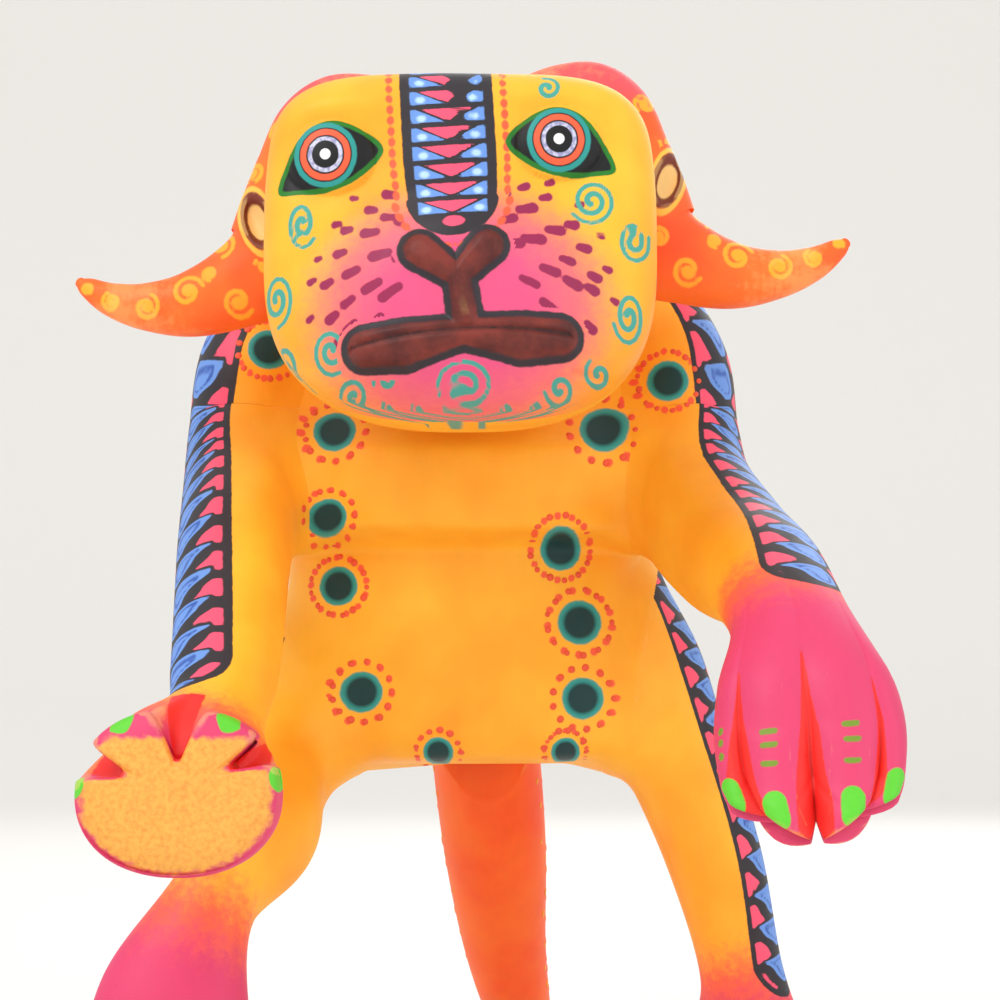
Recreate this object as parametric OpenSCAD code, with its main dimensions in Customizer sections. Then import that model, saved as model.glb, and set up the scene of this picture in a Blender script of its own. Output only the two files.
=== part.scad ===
// Carved and painted wooden cat creature that walks upright on its hind paws and its tail.
// Millimetres. +Z is up, the face looks along -Y, the creature's left side is +X.
// The origin is on the ground, under the middle of the whole figure.

/* [Torso] */
// Height of the belly's lower edge above the ground
leg_h = 60; // [50:1:72]
// Height of the torso from the belly's lower edge to the top of the shoulders
torso_h = 70; // [58:1:84]
// Width of the belly
belly_w = 64; // [53:1:77]
// Width of the chest before the shoulder flats are cut
chest_w = 68; // [56:1:82]
// Depth of the belly from front to back
belly_d = 40; // [33:1:48]
// How far the chest stands out in front of the belly
chest_step = 11; // [6:1:14]

/* [Head] */
// Width across the cheeks
head_w = 60; // [50:1:72]
// Height from chin to crown
head_h = 52; // [44:1:62]
// Depth from the neck face to the lips
head_d = 54; // [45:1:65]
// Width of the neck where it meets the head
neck_w = 30; // [25:1:36]

/* [Ears and tail] */
// Reach of an ear tip outside the side of the head
ear_reach = 38; // [32:1:46]
// Thickness of an ear at the hollow
ear_t = 15; // [12:1:18]
// Slope of the line from the right ear up to the left ear, in degrees
ear_tilt = 3; // [0:0.5:6]
// Thickness of the tail at its root
tail_t = 20; // [16:1:24]
// Distance from the back of the torso to the tip of the tail
tail_run = 62; // [51:1:76]

/* [Limbs] */
// Thickness of a foreleg at the shoulder
arm_t = 24; // [20:1:29]
// Forward reach of the forepaws in front of the shoulder flats' centre
arm_reach = 74; // [61:1:89]
// Thickness of a hind leg at the hip
thigh_t = 24; // [20:1:29]
// Width of a spread paw
paw_w = 28; // [23:1:34]

/* [Dowels] */
// Diameter of the neck dowel
neck_dowel_dia = 10; // [8:0.5:12]
// Diameter of the shoulder and hip dowels
limb_dowel_dia = 6; // [4:0.5:8]
// Diameter of the ear pegs
ear_peg_dia = 5; // [4:0.5:6]
// Diameter of the tail peg
tail_peg_dia = 8; // [6:0.5:10]
// Gap between a dowel and its bore, measured across the diameter
dowel_gap = 0.1; // [0.04:0.02:0.18]

/* [Hidden] */

yellow = [0.98, 0.70, 0.18];
orange = [1.00, 0.38, 0.14];
bare_wood = [0.80, 0.66, 0.46];

$fn = 48;
round_sides = 28;      // sides of a carved section
paw_sides = 40;        // sides of a section that ends in fingers
finger_len = 9;        // how far the fingertips reach past the grooves
ring_steps = 4;        // sections between two control points
split = 0.3;           // clearance between a piece that pulls off and what it sits on
over = 40;             // how far a cutting block runs past what it cuts

// ---- places that more than one piece shares
belly_y = 4;                              // middle of the belly, front to back
belly_front = belly_y - belly_d / 2;
belly_back = belly_y + belly_d / 2;
chest_front = belly_front - chest_step;
chest_z = leg_h + 0.55 * torso_h;         // lower edge of the chest
shoulder_x = chest_w / 2 - 6;             // flats that the forelegs sit on
shoulder_y = -8;
shoulder_z = leg_h + 0.82 * torso_h;
hip_x = belly_w / 2 - 8;                  // flats that the hind legs sit on
hip_y = 4;
hip_z = leg_h + 0.20 * torso_h;
hip_top = hip_z + 0.96 * thigh_t;       // upper edge of those flats, above the thighs' tops
neck_y = chest_front - 3;                 // plane where the head meets the neck
head_z = leg_h + torso_h + 9.5;           // middle of the head
head_front = neck_y - head_d;
ear_x = head_w / 2 - 6;                   // flats that the ears sit on
ear_y = neck_y - 8;
ear_z = head_z + 0.16 * head_h;
ear_front = neck_y - 20;
tail_z = leg_h + 6;
tail_x = 2;
wrist_y = shoulder_y - 0.74 * arm_reach;
hand_y = shoulder_y - 0.90 * arm_reach;
palm_y = shoulder_y - arm_reach;
neck_dowel_len = 26;
limb_dowel_len = 18;
ear_peg_len = 14;
tail_peg_len = 24;
bore_end = 0.5;

// ---- carved shapes: rounded sections strung along a curve
function unit(v) = v / norm(v);
function spline_at(a, b, c, d, t) =
    0.5 * (2 * b + (c - a) * t + (2 * a - 5 * b + 4 * c - d) * t * t + (3 * b - a - 3 * c + d) * t * t * t);
function spline(p, steps) =
    let (last = len(p) - 1)
    [for (i = [0 : last - 1], j = [0 : steps - 1])
         spline_at(p[max(i - 1, 0)], p[i], p[i + 1], p[min(i + 2, last)], j / steps),
     p[last]];
function at(s) = [s[0], s[1], s[2]];
function power(c, e) = sign(c) * pow(abs(c), 2 / e);
function ring(mid, u, v, a, b, e) =
    [for (k = [0 : round_sides - 1])
        let (t = 360 * k / round_sides)
        mid + u * a * power(cos(t), e) + v * b * power(sin(t), e)];

// 1 on each of four fingers that lie side by side over a rounded hand, 0 in the grooves between them
function side_by_side(t) = pow(abs(sin(4 * t)), 0.6);
// The two outer fingers are shorter
function finger_reach(t) = finger_len * (abs(cos(t)) > 0.71 ? 0.45 : 1);
// How deep the three notches between the toes are round the upper rim of a paw
function notch(t) = 0.62 * exp(-pow((t - 90) / 11, 4)) + 0.40 * exp(-pow((t - 28) / 9, 4))
                    + 0.42 * exp(-pow((t - 160) / 10, 4));

// A ring whose outline is parted into fingers, from not at all (part = 0) to fully (part = 1)
function finger_ring(mid, ahead, u, v, a, b, e, part) =
    [for (k = [0 : paw_sides - 1])
        let (t = 360 * k / paw_sides, f = side_by_side(t))
        mid + u * a * power(cos(t), e) + v * b * power(sin(t), e) * (1 - 0.4 * part * (1 - f))
        + ahead * finger_reach(t) * part * f];
function toe_ring(mid, u, v, a, b, e, part) =
    [for (k = [0 : paw_sides - 1])
        let (t = 360 * k / paw_sides)
        mid + (u * a * power(cos(t), e) + v * b * power(sin(t), e)) * (1 - part * notch(t))];

// rings: a list of point rings of equal length, strung from the first to the last
module loft(rings) {
    n = len(rings[0]);
    m = len(rings);
    h = n / 2;
    sides = [for (i = [0 : m - 2], k = [0 : n - 1])
                let (a = i * n + k, b = i * n + (k + 1) % n, c = b + n, d = a + n)
                each [[a, d, c], [a, c, b]]];
    caps = [for (k = [0 : h - 1])
               let (a = k, b = k + 1, c = n - k - 1, d = (n - k) % n, o = (m - 1) * n)
               each concat(c == b ? [] : [[a, b, c], [o + a, o + c, o + b]],
                           d == a ? [] : [[a, c, d], [o + a, o + d, o + c]])];
    polyhedron(points = [for (r = rings) each r], faces = concat(sides, caps), convexity = 6);
}

// path: [x, y, z, half width, half depth, parting] rows; side: the direction the width is measured in
// end: "plain", "fingers" that reach ahead, or "toes" round the rim
module limb(path, side, e = 2.2, end = "plain") {
    s = spline(path, ring_steps);
    last = len(s) - 1;
    loft([for (i = [0 : last])
        let (t = unit(at(s[min(i + 1, last)]) - at(s[max(i - 1, 0)])),
             v = unit(cross(t, side)),
             u = cross(v, t))
        end == "fingers" ? finger_ring(at(s[i]), t, u, v, s[i][3], s[i][4], e, max(0, s[i][5]))
        : end == "toes" ? toe_ring(at(s[i]), u, v, s[i][3], s[i][4], e, max(0, s[i][5]))
        : ring(at(s[i]), u, v, s[i][3], s[i][4], e)]);
}

// One carved block: its shapes are merged before any bore is drilled
module carved() {
    resize([0, 0, 0]) union() children();
}

// A rod along X from x0 to x1, either way round
module rod_x(x0, x1, y, z, d) {
    translate([min(x0, x1), y, z]) rotate([0, 90, 0]) cylinder(h = abs(x1 - x0), d = d);
}

// A rod along Y from y0 to y1
module rod_y(y0, y1, x, z, d) {
    translate([x, y1, z]) rotate([90, 0, 0]) cylinder(h = y1 - y0, d = d);
}

// A block beyond the plane |x| = x0 on one side
module side_block(side, x0, y0, y1, z0, z1) {
    translate([side > 0 ? x0 : -x0 - over, y0, z0]) cube([over, y1 - y0, z1 - z0]);
}

// ---- torso
// rows: height, middle in Y, tilt towards the face, half width, half depth
chest_mid = (chest_front + belly_back) / 2;
chest_half = (belly_back - chest_front) / 2;
torso_rows = [
    [leg_h, belly_y + 2, 0, 0.34 * belly_w, 0.30 * belly_d],
    [leg_h + 0.03 * torso_h, belly_y + 1, 0, 0.44 * belly_w, 0.42 * belly_d],
    [leg_h + 0.12 * torso_h, belly_y, 0, 0.49 * belly_w, 0.49 * belly_d],
    [leg_h + 0.32 * torso_h, belly_y, 0, 0.50 * belly_w, 0.50 * belly_d],
    [leg_h + 0.51 * torso_h, belly_y, 0, 0.49 * belly_w, 0.50 * belly_d],
    [leg_h + 0.57 * torso_h, chest_mid, 0, 0.47 * chest_w, 0.96 * chest_half],
    [leg_h + 0.76 * torso_h, chest_mid, 4, 0.50 * chest_w, 1.00 * chest_half],
    [leg_h + 0.95 * torso_h, chest_mid - 1, 24, 0.47 * chest_w, 0.88 * chest_half],
    [leg_h + 1.08 * torso_h, chest_mid - 7, 50, 0.40 * chest_w, 0.68 * chest_half],
    [head_z, neck_y + 8, 80, 0.53 * neck_w, 0.54 * neck_w],
    [head_z, neck_y, 90, 0.50 * neck_w, 0.50 * neck_w]];

module torso_block() {
    rows = spline(torso_rows, 3);
    loft([for (r = rows)
        ring([0, r[1], r[0]], [1, 0, 0], [0, cos(r[2]), sin(r[2])], r[3], r[4], 2.5)]);
}

module torso() {
    color(yellow) difference() {
        torso_block();
        for (side = [-1, 1]) {
            side_block(side, shoulder_x, -over, over, chest_z, head_z + over);
            side_block(side, hip_x, -over, over, leg_h - over, hip_top);
            rod_x(side * (shoulder_x + over), side * (shoulder_x - limb_dowel_len / 2 - bore_end),
                  shoulder_y, shoulder_z, limb_dowel_dia + dowel_gap);
            rod_x(side * (hip_x + over), side * (hip_x - limb_dowel_len / 2 - bore_end),
                  hip_y, hip_z, limb_dowel_dia + dowel_gap);
        }
        rod_y(neck_y - over, neck_y + neck_dowel_len / 2 + bore_end, 0, head_z, neck_dowel_dia + dowel_gap);
        rod_y(belly_back - 2 - tail_peg_len / 2, belly_back + over, tail_x, tail_z, tail_peg_dia + dowel_gap);
        translate([-over, belly_back - 2, leg_h - over]) cube([2 * over, over, over + 22]);
    }
}

// ---- head
// rows: distance in front of the neck face, middle height, half width, half height
head_rows = [
    [0, 0, 0.34, 0.34],
    [0.05, 0, 0.40, 0.42],
    [0.18, 0, 0.45, 0.48],
    [0.38, 0, 0.485, 0.50],
    [0.58, 0, 0.50, 0.50],
    [0.72, -0.01, 0.49, 0.48],
    [0.84, -0.04, 0.44, 0.43],
    [0.92, -0.12, 0.36, 0.34],
    [0.97, -0.17, 0.28, 0.24],
    [1.00, -0.20, 0.16, 0.13]];

// The crown is squarer than the jaw
function head_ring(mid, a, b) =
    [for (k = [0 : round_sides - 1])
        let (t = 360 * k / round_sides, e = sin(t) > 0 ? 4.2 : 3.2)
        mid + [a * power(cos(t), e), 0, b * power(sin(t), e)]];

module head() {
    color(yellow) difference() {
        carved() {
            loft([for (r = spline(head_rows, 3))
                head_ring([0, neck_y - r[0] * head_d, head_z + r[1] * head_h], r[2] * head_w, r[3] * head_h)]);
            for (side = [-1, 1])
                translate([side * 0.30 * head_w, neck_y - 0.78 * head_d, head_z + 0.22 * head_h])
                    sphere(d = 0.26 * head_w, $fn = 32);
        }
        for (side = [-1, 1]) {
            side_block(side, ear_x, ear_front, over, head_z - head_h / 4, head_z + over);
            rod_x(side * (ear_x + over), side * (ear_x - ear_peg_len / 2 - bore_end), ear_y, ear_z,
                  ear_peg_dia + dowel_gap);
        }
        rod_y(neck_y - neck_dowel_len / 2 - bore_end, neck_y + over, 0, head_z, neck_dowel_dia + dowel_gap);
    }
}

module neck_dowel() {
    color(bare_wood) rod_y(neck_y - neck_dowel_len / 2, neck_y + neck_dowel_len / 2, 0, head_z, neck_dowel_dia);
}

// ---- ears
// rows: outward from the ear flat, height above the head's middle, half thickness in the face plane
ear_rows = [
    [-6, 0.60 * head_h, 4],
    [-2, 0.55 * head_h, 6.2],
    [1, 0.38 * head_h, 7.8],
    [3.5, 0.22 * head_h, 9],
    [7, 0.07 * head_h, 9.3],
    [0.37 * ear_reach, 0, 6.8],
    [0.54 * ear_reach, -0.04 * head_h, 5.3],
    [0.72 * ear_reach, -0.04 * head_h, 3.9],
    [0.87 * ear_reach, -0.01 * head_h, 2.8],
    [0.97 * ear_reach, 0.03 * head_h, 1.7],
    [ear_reach + 1, 0.05 * head_h, 0.8]];
crown_z = head_z + head_h / 2 + split;    // where an ear's root reaches over the crown

module ear(side) {
    color(orange) difference() {
        carved() difference() {
            intersection() {
                union() {
                    limb([for (r = ear_rows)
                            [side * (ear_x + r[0]), ear_y - 2, head_z + r[1] + side * (ear_x + r[0]) * tan(ear_tilt),
                             min(ear_t / 2, 0.9 * r[2]), r[2]]], [0, 1, 0]);
                    translate([side * (ear_x - 4), ear_y - 2, head_z + 0.54 * head_h + side * ear_x * tan(ear_tilt)])
                        scale([1.7, 1, 1]) sphere(r = 6.2, $fn = 28);
                }
                union() {
                    side_block(side, ear_x + split, -3 * over, over, 0, head_z + 2 * over);
                    side_block(side, 0.3 * ear_x, -3 * over, over, crown_z, head_z + 2 * over);
                }
            }
            translate([side * (ear_x + 8.5), ear_y - 3 - ear_t / 2, head_z + (0.22 + 0.07 * side) * head_h])
                scale([0.5, 0.45, 1]) sphere(d = 10, $fn = 24);
        }
        rod_x(side * (ear_x - over), side * (ear_x + ear_peg_len / 2 + bore_end), ear_y, ear_z,
              ear_peg_dia + dowel_gap);
    }
}

module right_ear() { ear(-1); }
module left_ear() { ear(1); }

module ear_peg(side) {
    color(bare_wood) rod_x(side * (ear_x - ear_peg_len / 2), side * (ear_x + ear_peg_len / 2), ear_y, ear_z, ear_peg_dia);
}

module right_ear_peg() { ear_peg(-1); }
module left_ear_peg() { ear_peg(1); }

// ---- tail
tail_root_y = belly_back - 2 + split;
module tail() {
    run = tail_run;
    r = tail_t / 2;
    color(orange) difference() {
        intersection() {
            limb([[tail_x, tail_root_y - 6, tail_z + 3, 0.80 * r, 0.80 * r],
                  [tail_x + 1, tail_root_y + 5, tail_z - 2, r, r],
                  [tail_x + 3, tail_root_y + 0.24 * run, 0.66 * tail_z, 0.98 * r, 0.95 * r],
                  [tail_x + 5, tail_root_y + 0.42 * run, 0.36 * tail_z, 0.80 * r, 0.78 * r],
                  [tail_x + 8, tail_root_y + 0.60 * run, 0.14 * tail_z, 0.62 * r, 0.60 * r],
                  [tail_x + 11, tail_root_y + 0.80 * run, 0.36 * r, 0.44 * r, 0.42 * r],
                  [tail_x + 13, tail_root_y + run, 0.20 * r, 0.18 * r, 0.18 * r]],
                 [1, 0, 0], 2.1);
            translate([-over, tail_root_y, 0]) cube([2 * over, 3 * over, 2 * over]);
        }
        rod_y(tail_root_y - over, tail_root_y + tail_peg_len / 2 + bore_end, tail_x, tail_z, tail_peg_dia + dowel_gap);
    }
}

module tail_peg() {
    color(bare_wood) rod_y(tail_root_y - tail_peg_len / 2, tail_root_y + tail_peg_len / 2, tail_x, tail_z, tail_peg_dia);
}

// ---- forelegs
// Everything below the ground, which gives the soles and the tail their flat resting faces
module below_ground() {
    translate([-3 * over, -3 * over, -over]) cube([6 * over, 6 * over, over]);
}

module right_foreleg() {
    r = arm_t / 2;
    x0 = -shoulder_x;
    pz = leg_h - 2;
    color(yellow) difference() {
        limb([[x0 - 4, shoulder_y + 6, shoulder_z + 2.3 * r, 0.25 * r, 0.30 * r, 0],
              [x0 - 6, shoulder_y + 3, shoulder_z + 1.9 * r, 0.55 * r, 0.70 * r, 0],
              [x0 - 9, shoulder_y, shoulder_z + 1.0 * r, 0.80 * r, 1.00 * r, 0],
              [x0 - 10, shoulder_y, shoulder_z, 0.88 * r, 1.10 * r, 0],
              [x0 - 10, shoulder_y - 8, shoulder_z - 0.95 * r, 0.86 * r, 1.05 * r, 0],
              [x0 - 9.5, shoulder_y - 0.35 * arm_reach, 0.5 * (shoulder_z + pz + 14), 0.77 * r, 0.84 * r, 0],
              [x0 - 8.5, shoulder_y - 0.62 * arm_reach, pz + 18, 0.70 * r, 0.66 * r, 0],
              [x0 - 9, wrist_y, pz + 10, 0.64 * r, 0.60 * r, 0],
              [x0 - 11, wrist_y - 0.40 * (wrist_y - palm_y), pz + 4, 0.44 * paw_w, 0.35 * paw_w, 0.3],
              [x0 - 12, palm_y + 5, pz, 0.53 * paw_w, 0.43 * paw_w, 1],
              [x0 - 12, palm_y, pz, 0.50 * paw_w, 0.40 * paw_w, 1]], [1, 0, 0], 2.2, "toes");
        side_block(1, x0, chest_front - 4, over, chest_z - over, 5 * over);
        rod_x(over, x0 - limb_dowel_len / 2 - bore_end, shoulder_y, shoulder_z, limb_dowel_dia + dowel_gap);
    }
}

module left_foreleg() {
    r = arm_t / 2;
    x0 = shoulder_x;
    pz = leg_h + 7;
    color(yellow) difference() {
        limb([[x0 + 4, shoulder_y + 6, shoulder_z + 2.3 * r, 0.25 * r, 0.30 * r, 0],
              [x0 + 6, shoulder_y + 3, shoulder_z + 1.9 * r, 0.55 * r, 0.70 * r, 0],
              [x0 + 9, shoulder_y, shoulder_z + 1.0 * r, 0.78 * r, 1.00 * r, 0],
              [x0 + 9.5, shoulder_y, shoulder_z, 0.85 * r, 1.10 * r, 0],
              [x0 + 11, shoulder_y - 8, shoulder_z - 1.0 * r, 0.90 * r, 1.05 * r, 0],
              [x0 + 16, shoulder_y - 0.30 * arm_reach, shoulder_z - 1.8 * r, 0.87 * r, 0.90 * r, 0],
              [x0 + 20, shoulder_y - 0.52 * arm_reach, pz + 23, 0.80 * r, 0.76 * r, 0],
              [x0 + 22, wrist_y, pz + 17, 0.78 * r, 0.54 * r, 0],
              [x0 + 22.5, hand_y + 3, pz + 8, 0.46 * paw_w, 0.23 * paw_w, 0],
              [x0 + 23, hand_y, pz, 0.50 * paw_w, 0.22 * paw_w, 0.25],
              [x0 + 23, hand_y - 2, pz - 6, 0.47 * paw_w, 0.18 * paw_w, 0.8],
              [x0 + 23, hand_y - 3, pz - 8, 0.43 * paw_w, 0.13 * paw_w, 1]], [1, -0.15, 0], 2.2, "fingers");
        side_block(-1, -x0, chest_front - 4, over, chest_z - over, 5 * over);
        rod_x(-over, x0 + limb_dowel_len / 2 + bore_end, shoulder_y, shoulder_z, limb_dowel_dia + dowel_gap);
    }
}

module shoulder_dowel(side) {
    color(bare_wood) rod_x(side * (shoulder_x - limb_dowel_len / 2), side * (shoulder_x + limb_dowel_len / 2),
                           shoulder_y, shoulder_z, limb_dowel_dia);
}

module right_shoulder_dowel() { shoulder_dowel(-1); }
module left_shoulder_dowel() { shoulder_dowel(1); }

// ---- hind legs, standing on the toes
// A paw flat on the ground, as the last rows of a leg's path: the toes point along -Y from the heel at x, y
function ground_paw(x, y, heel) = [
    [x, y, 12, heel, 6.5, 0],
    [x, y - 6, 6, 0.48 * paw_w, 5.6, 0],
    [x, y - 15, 4.4, 0.52 * paw_w, 5.2, 0.1],
    [x, y - 20, 3.4, 0.52 * paw_w, 4.4, 0.7],
    [x, y - 22, 2.8, 0.48 * paw_w, 3.0, 1]];

module right_hind_leg() {
    r = thigh_t / 2;
    x0 = -hip_x;
    color(yellow) difference() {
        limb(concat([[x0 + 2, hip_y + 2, hip_z + 0.8 * r, 0.50 * r, 0.60 * r, 0],
                     [x0 - 2, hip_y, hip_z, 0.90 * r, 1.05 * r, 0],
                     [x0 - 8, hip_y - 14, 0.97 * leg_h, 0.76 * r, 0.96 * r, 0],
                     [x0 - 9, hip_y - 29, 0.82 * leg_h, 0.70 * r, 0.80 * r, 0],
                     [x0 - 16, hip_y - 41, 0.65 * leg_h, 0.56 * r, 0.58 * r, 0],
                     [x0 - 21, hip_y - 47, 0.42 * leg_h, 0.42 * paw_w, 0.56 * r, 0]],
                    ground_paw(x0 - 22, hip_y - 50, 0.50 * paw_w)), [1, 0, 0], 2.3, "fingers");
        below_ground();
        side_block(1, x0, -3 * over, over, 0.82 * leg_h, 5 * over);
        rod_x(over, x0 - limb_dowel_len / 2 - bore_end, hip_y, hip_z, limb_dowel_dia + dowel_gap);
    }
}

module left_hind_leg() {
    r = thigh_t / 2;
    x0 = hip_x;
    color(yellow) difference() {
        limb(concat([[x0 + 1, hip_y + 3, hip_z + 1.7 * r, 0.40 * r, 0.45 * r, 0],
                     [x0 + 4, hip_y + 2, hip_z + 0.9 * r, 0.85 * r, 0.85 * r, 0],
                     [x0 + 7.5, hip_y + 1, hip_z, 0.98 * r, 1.05 * r, 0],
                     [x0 + 14, hip_y + 1, 1.00 * leg_h, 0.80 * r, 0.97 * r, 0],
                     [x0 + 20.5, hip_y + 1, 0.70 * leg_h, 0.70 * r, 0.82 * r, 0],
                     [x0 + 25, hip_y + 2, 0.38 * leg_h, 0.62 * r, 0.62 * r, 0]],
                    ground_paw(x0 + 26, hip_y + 2, 0.38 * paw_w)), [1, 0, 0], 2.3, "fingers");
        below_ground();
        side_block(-1, -x0, -3 * over, over, 0, 5 * over);
        rod_x(-over, x0 + limb_dowel_len / 2 + bore_end, hip_y, hip_z, limb_dowel_dia + dowel_gap);
    }
}

module hip_dowel(side) {
    color(bare_wood) rod_x(side * (hip_x - limb_dowel_len / 2), side * (hip_x + limb_dowel_len / 2),
                           hip_y, hip_z, limb_dowel_dia);
}

module right_hip_dowel() { hip_dowel(-1); }
module left_hip_dowel() { hip_dowel(1); }

torso();
head();
neck_dowel();
right_ear();
left_ear();
right_ear_peg();
left_ear_peg();
right_foreleg();
left_foreleg();
right_shoulder_dowel();
left_shoulder_dowel();
right_hind_leg();
left_hind_leg();
right_hip_dowel();
left_hip_dowel();
tail();
tail_peg();
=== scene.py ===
"""Painted wooden cat creature that walks upright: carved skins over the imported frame, and their paint."""
import math

import bpy
import numpy as np
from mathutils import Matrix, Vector
from mathutils.bvhtree import BVHTree


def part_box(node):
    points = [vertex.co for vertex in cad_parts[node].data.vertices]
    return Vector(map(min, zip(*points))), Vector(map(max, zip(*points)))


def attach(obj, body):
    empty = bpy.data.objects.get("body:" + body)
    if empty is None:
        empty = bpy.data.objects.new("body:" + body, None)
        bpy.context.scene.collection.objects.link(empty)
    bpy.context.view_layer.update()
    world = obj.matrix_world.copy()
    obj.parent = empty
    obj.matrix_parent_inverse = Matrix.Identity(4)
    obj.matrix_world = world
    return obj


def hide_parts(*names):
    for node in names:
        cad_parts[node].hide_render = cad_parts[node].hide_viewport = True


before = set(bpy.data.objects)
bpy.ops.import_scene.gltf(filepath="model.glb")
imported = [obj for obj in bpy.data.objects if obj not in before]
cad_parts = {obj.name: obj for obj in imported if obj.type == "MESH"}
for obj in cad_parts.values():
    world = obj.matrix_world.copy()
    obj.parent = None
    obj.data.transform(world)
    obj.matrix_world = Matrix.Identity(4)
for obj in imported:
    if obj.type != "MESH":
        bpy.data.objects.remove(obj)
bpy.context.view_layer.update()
MM = 0.001
rng = np.random.default_rng(7)


def box_mm(node):
    lo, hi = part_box(node)
    return np.array(lo) / MM, np.array(hi) / MM


# ---------------------------------------------------------------- carving
def spline(rows, steps):
    """Smooth curve through rows of numbers, with steps samples between two rows."""
    p = np.array(rows, float)
    out = []
    for i in range(len(p) - 1):
        a, b, c, d = p[max(i - 1, 0)], p[i], p[i + 1], p[min(i + 2, len(p) - 1)]
        for t in np.arange(steps) / steps:
            out.append(0.5 * (2 * b + (c - a) * t + (2 * a - 5 * b + 4 * c - d) * t ** 2
                              + (3 * b - a - 3 * c + d) * t ** 3))
    out.append(p[-1])
    return np.array(out)


def even(curve, step):
    """The same curve with samples an even distance apart in its first three columns."""
    d = np.r_[0, np.cumsum(np.linalg.norm(np.diff(curve[:, :3], axis=0), axis=1))]
    s = np.linspace(0, d[-1], max(int(d[-1] / step), 8) + 1)
    return np.stack([np.interp(s, d, curve[:, k]) for k in range(curve.shape[1])], 1), s


def power(c, e):
    return np.sign(c) * np.abs(c) ** (2 / e)


def smooth(a, b, x):
    t = np.clip((x - a) / (b - a), 0, 1)
    return t * t * (3 - 2 * t)


class Skin:
    """A closed carved surface: rings of points, with a pole at each end, and paint fields on its points."""

    def __init__(self, rings, first, last, **fields):
        self.shape = rings.shape[:2]
        self.co = np.vstack([rings.reshape(-1, 3), first, last])
        self.f = {}
        for k, v in fields.items():
            flat = np.broadcast_to(v, self.shape).reshape(-1)
            self.f[k] = np.r_[flat, flat[:self.shape[1]].mean(), flat[-self.shape[1]:].mean()]

    def faces(self):
        m, n = self.shape
        i, k = np.meshgrid(np.arange(m - 1), np.arange(n), indexing="ij")
        a, b = i * n + k, i * n + (k + 1) % n
        quads = np.stack([a, b, b + n, a + n], -1).reshape(-1, 4)
        k = np.arange(n)
        low = np.stack([(k + 1) % n, k, np.full(n, m * n)], 1)
        top = np.stack([(m - 1) * n + k, (m - 1) * n + (k + 1) % n, np.full(n, m * n + 1)], 1)
        return quads.tolist() + low.tolist() + top.tolist()

    def normals(self):
        m, n = self.shape
        grid = self.co[:-2].reshape(m, n, 3)
        out = np.cross(np.roll(grid, -1, 1) - np.roll(grid, 1, 1), np.gradient(grid, axis=0))
        out /= np.maximum(np.linalg.norm(out, axis=2), 1e-9)[..., None]
        return np.concatenate([out.reshape(-1, 3), np.zeros((2, 3))])

    def edges(self, span=2.5):
        """How far each point stands above its neighbours a span away, in mm: large on the ridges."""
        m, n = self.shape
        grid, out = self.co[:-2].reshape(m, n, 3), self.normals()[:-2].reshape(m, n, 3)
        out = out * np.sign(((grid - grid.mean(1, keepdims=True)) * out).sum(2).mean())
        size = np.linalg.norm(np.roll(grid, -1, 1) - grid, axis=2).mean(1)
        jump = np.clip(np.round(span / np.maximum(size, 1e-6)), 1, n // 8).astype(int)
        i, k = np.arange(m)[:, None], np.arange(n)[None]
        round_it = 2 * grid - grid[i, (k + jump[:, None]) % n] - grid[i, (k - jump[:, None]) % n]
        high = (round_it * out).sum(2)
        return np.r_[high.reshape(-1), 0, 0]

    def piece(self, name, paint, body, material):
        paint = dict(paint, edge=self.edges())
        mesh = bpy.data.meshes.new(name)
        mesh.from_pydata((self.co * MM).tolist(), [], self.faces())
        mesh.polygons.foreach_set("use_smooth", [True] * len(mesh.polygons))
        for key, values in paint.items():
            layer = mesh.attributes.new(key, "FLOAT", "POINT")
            layer.data.foreach_set("value", np.ascontiguousarray(values, np.float32))
        mesh.materials.append(material)
        mesh.update()
        o = bpy.data.objects.new(name, mesh)
        bpy.context.scene.collection.objects.link(o)
        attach(o, body)
        return o


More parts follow.
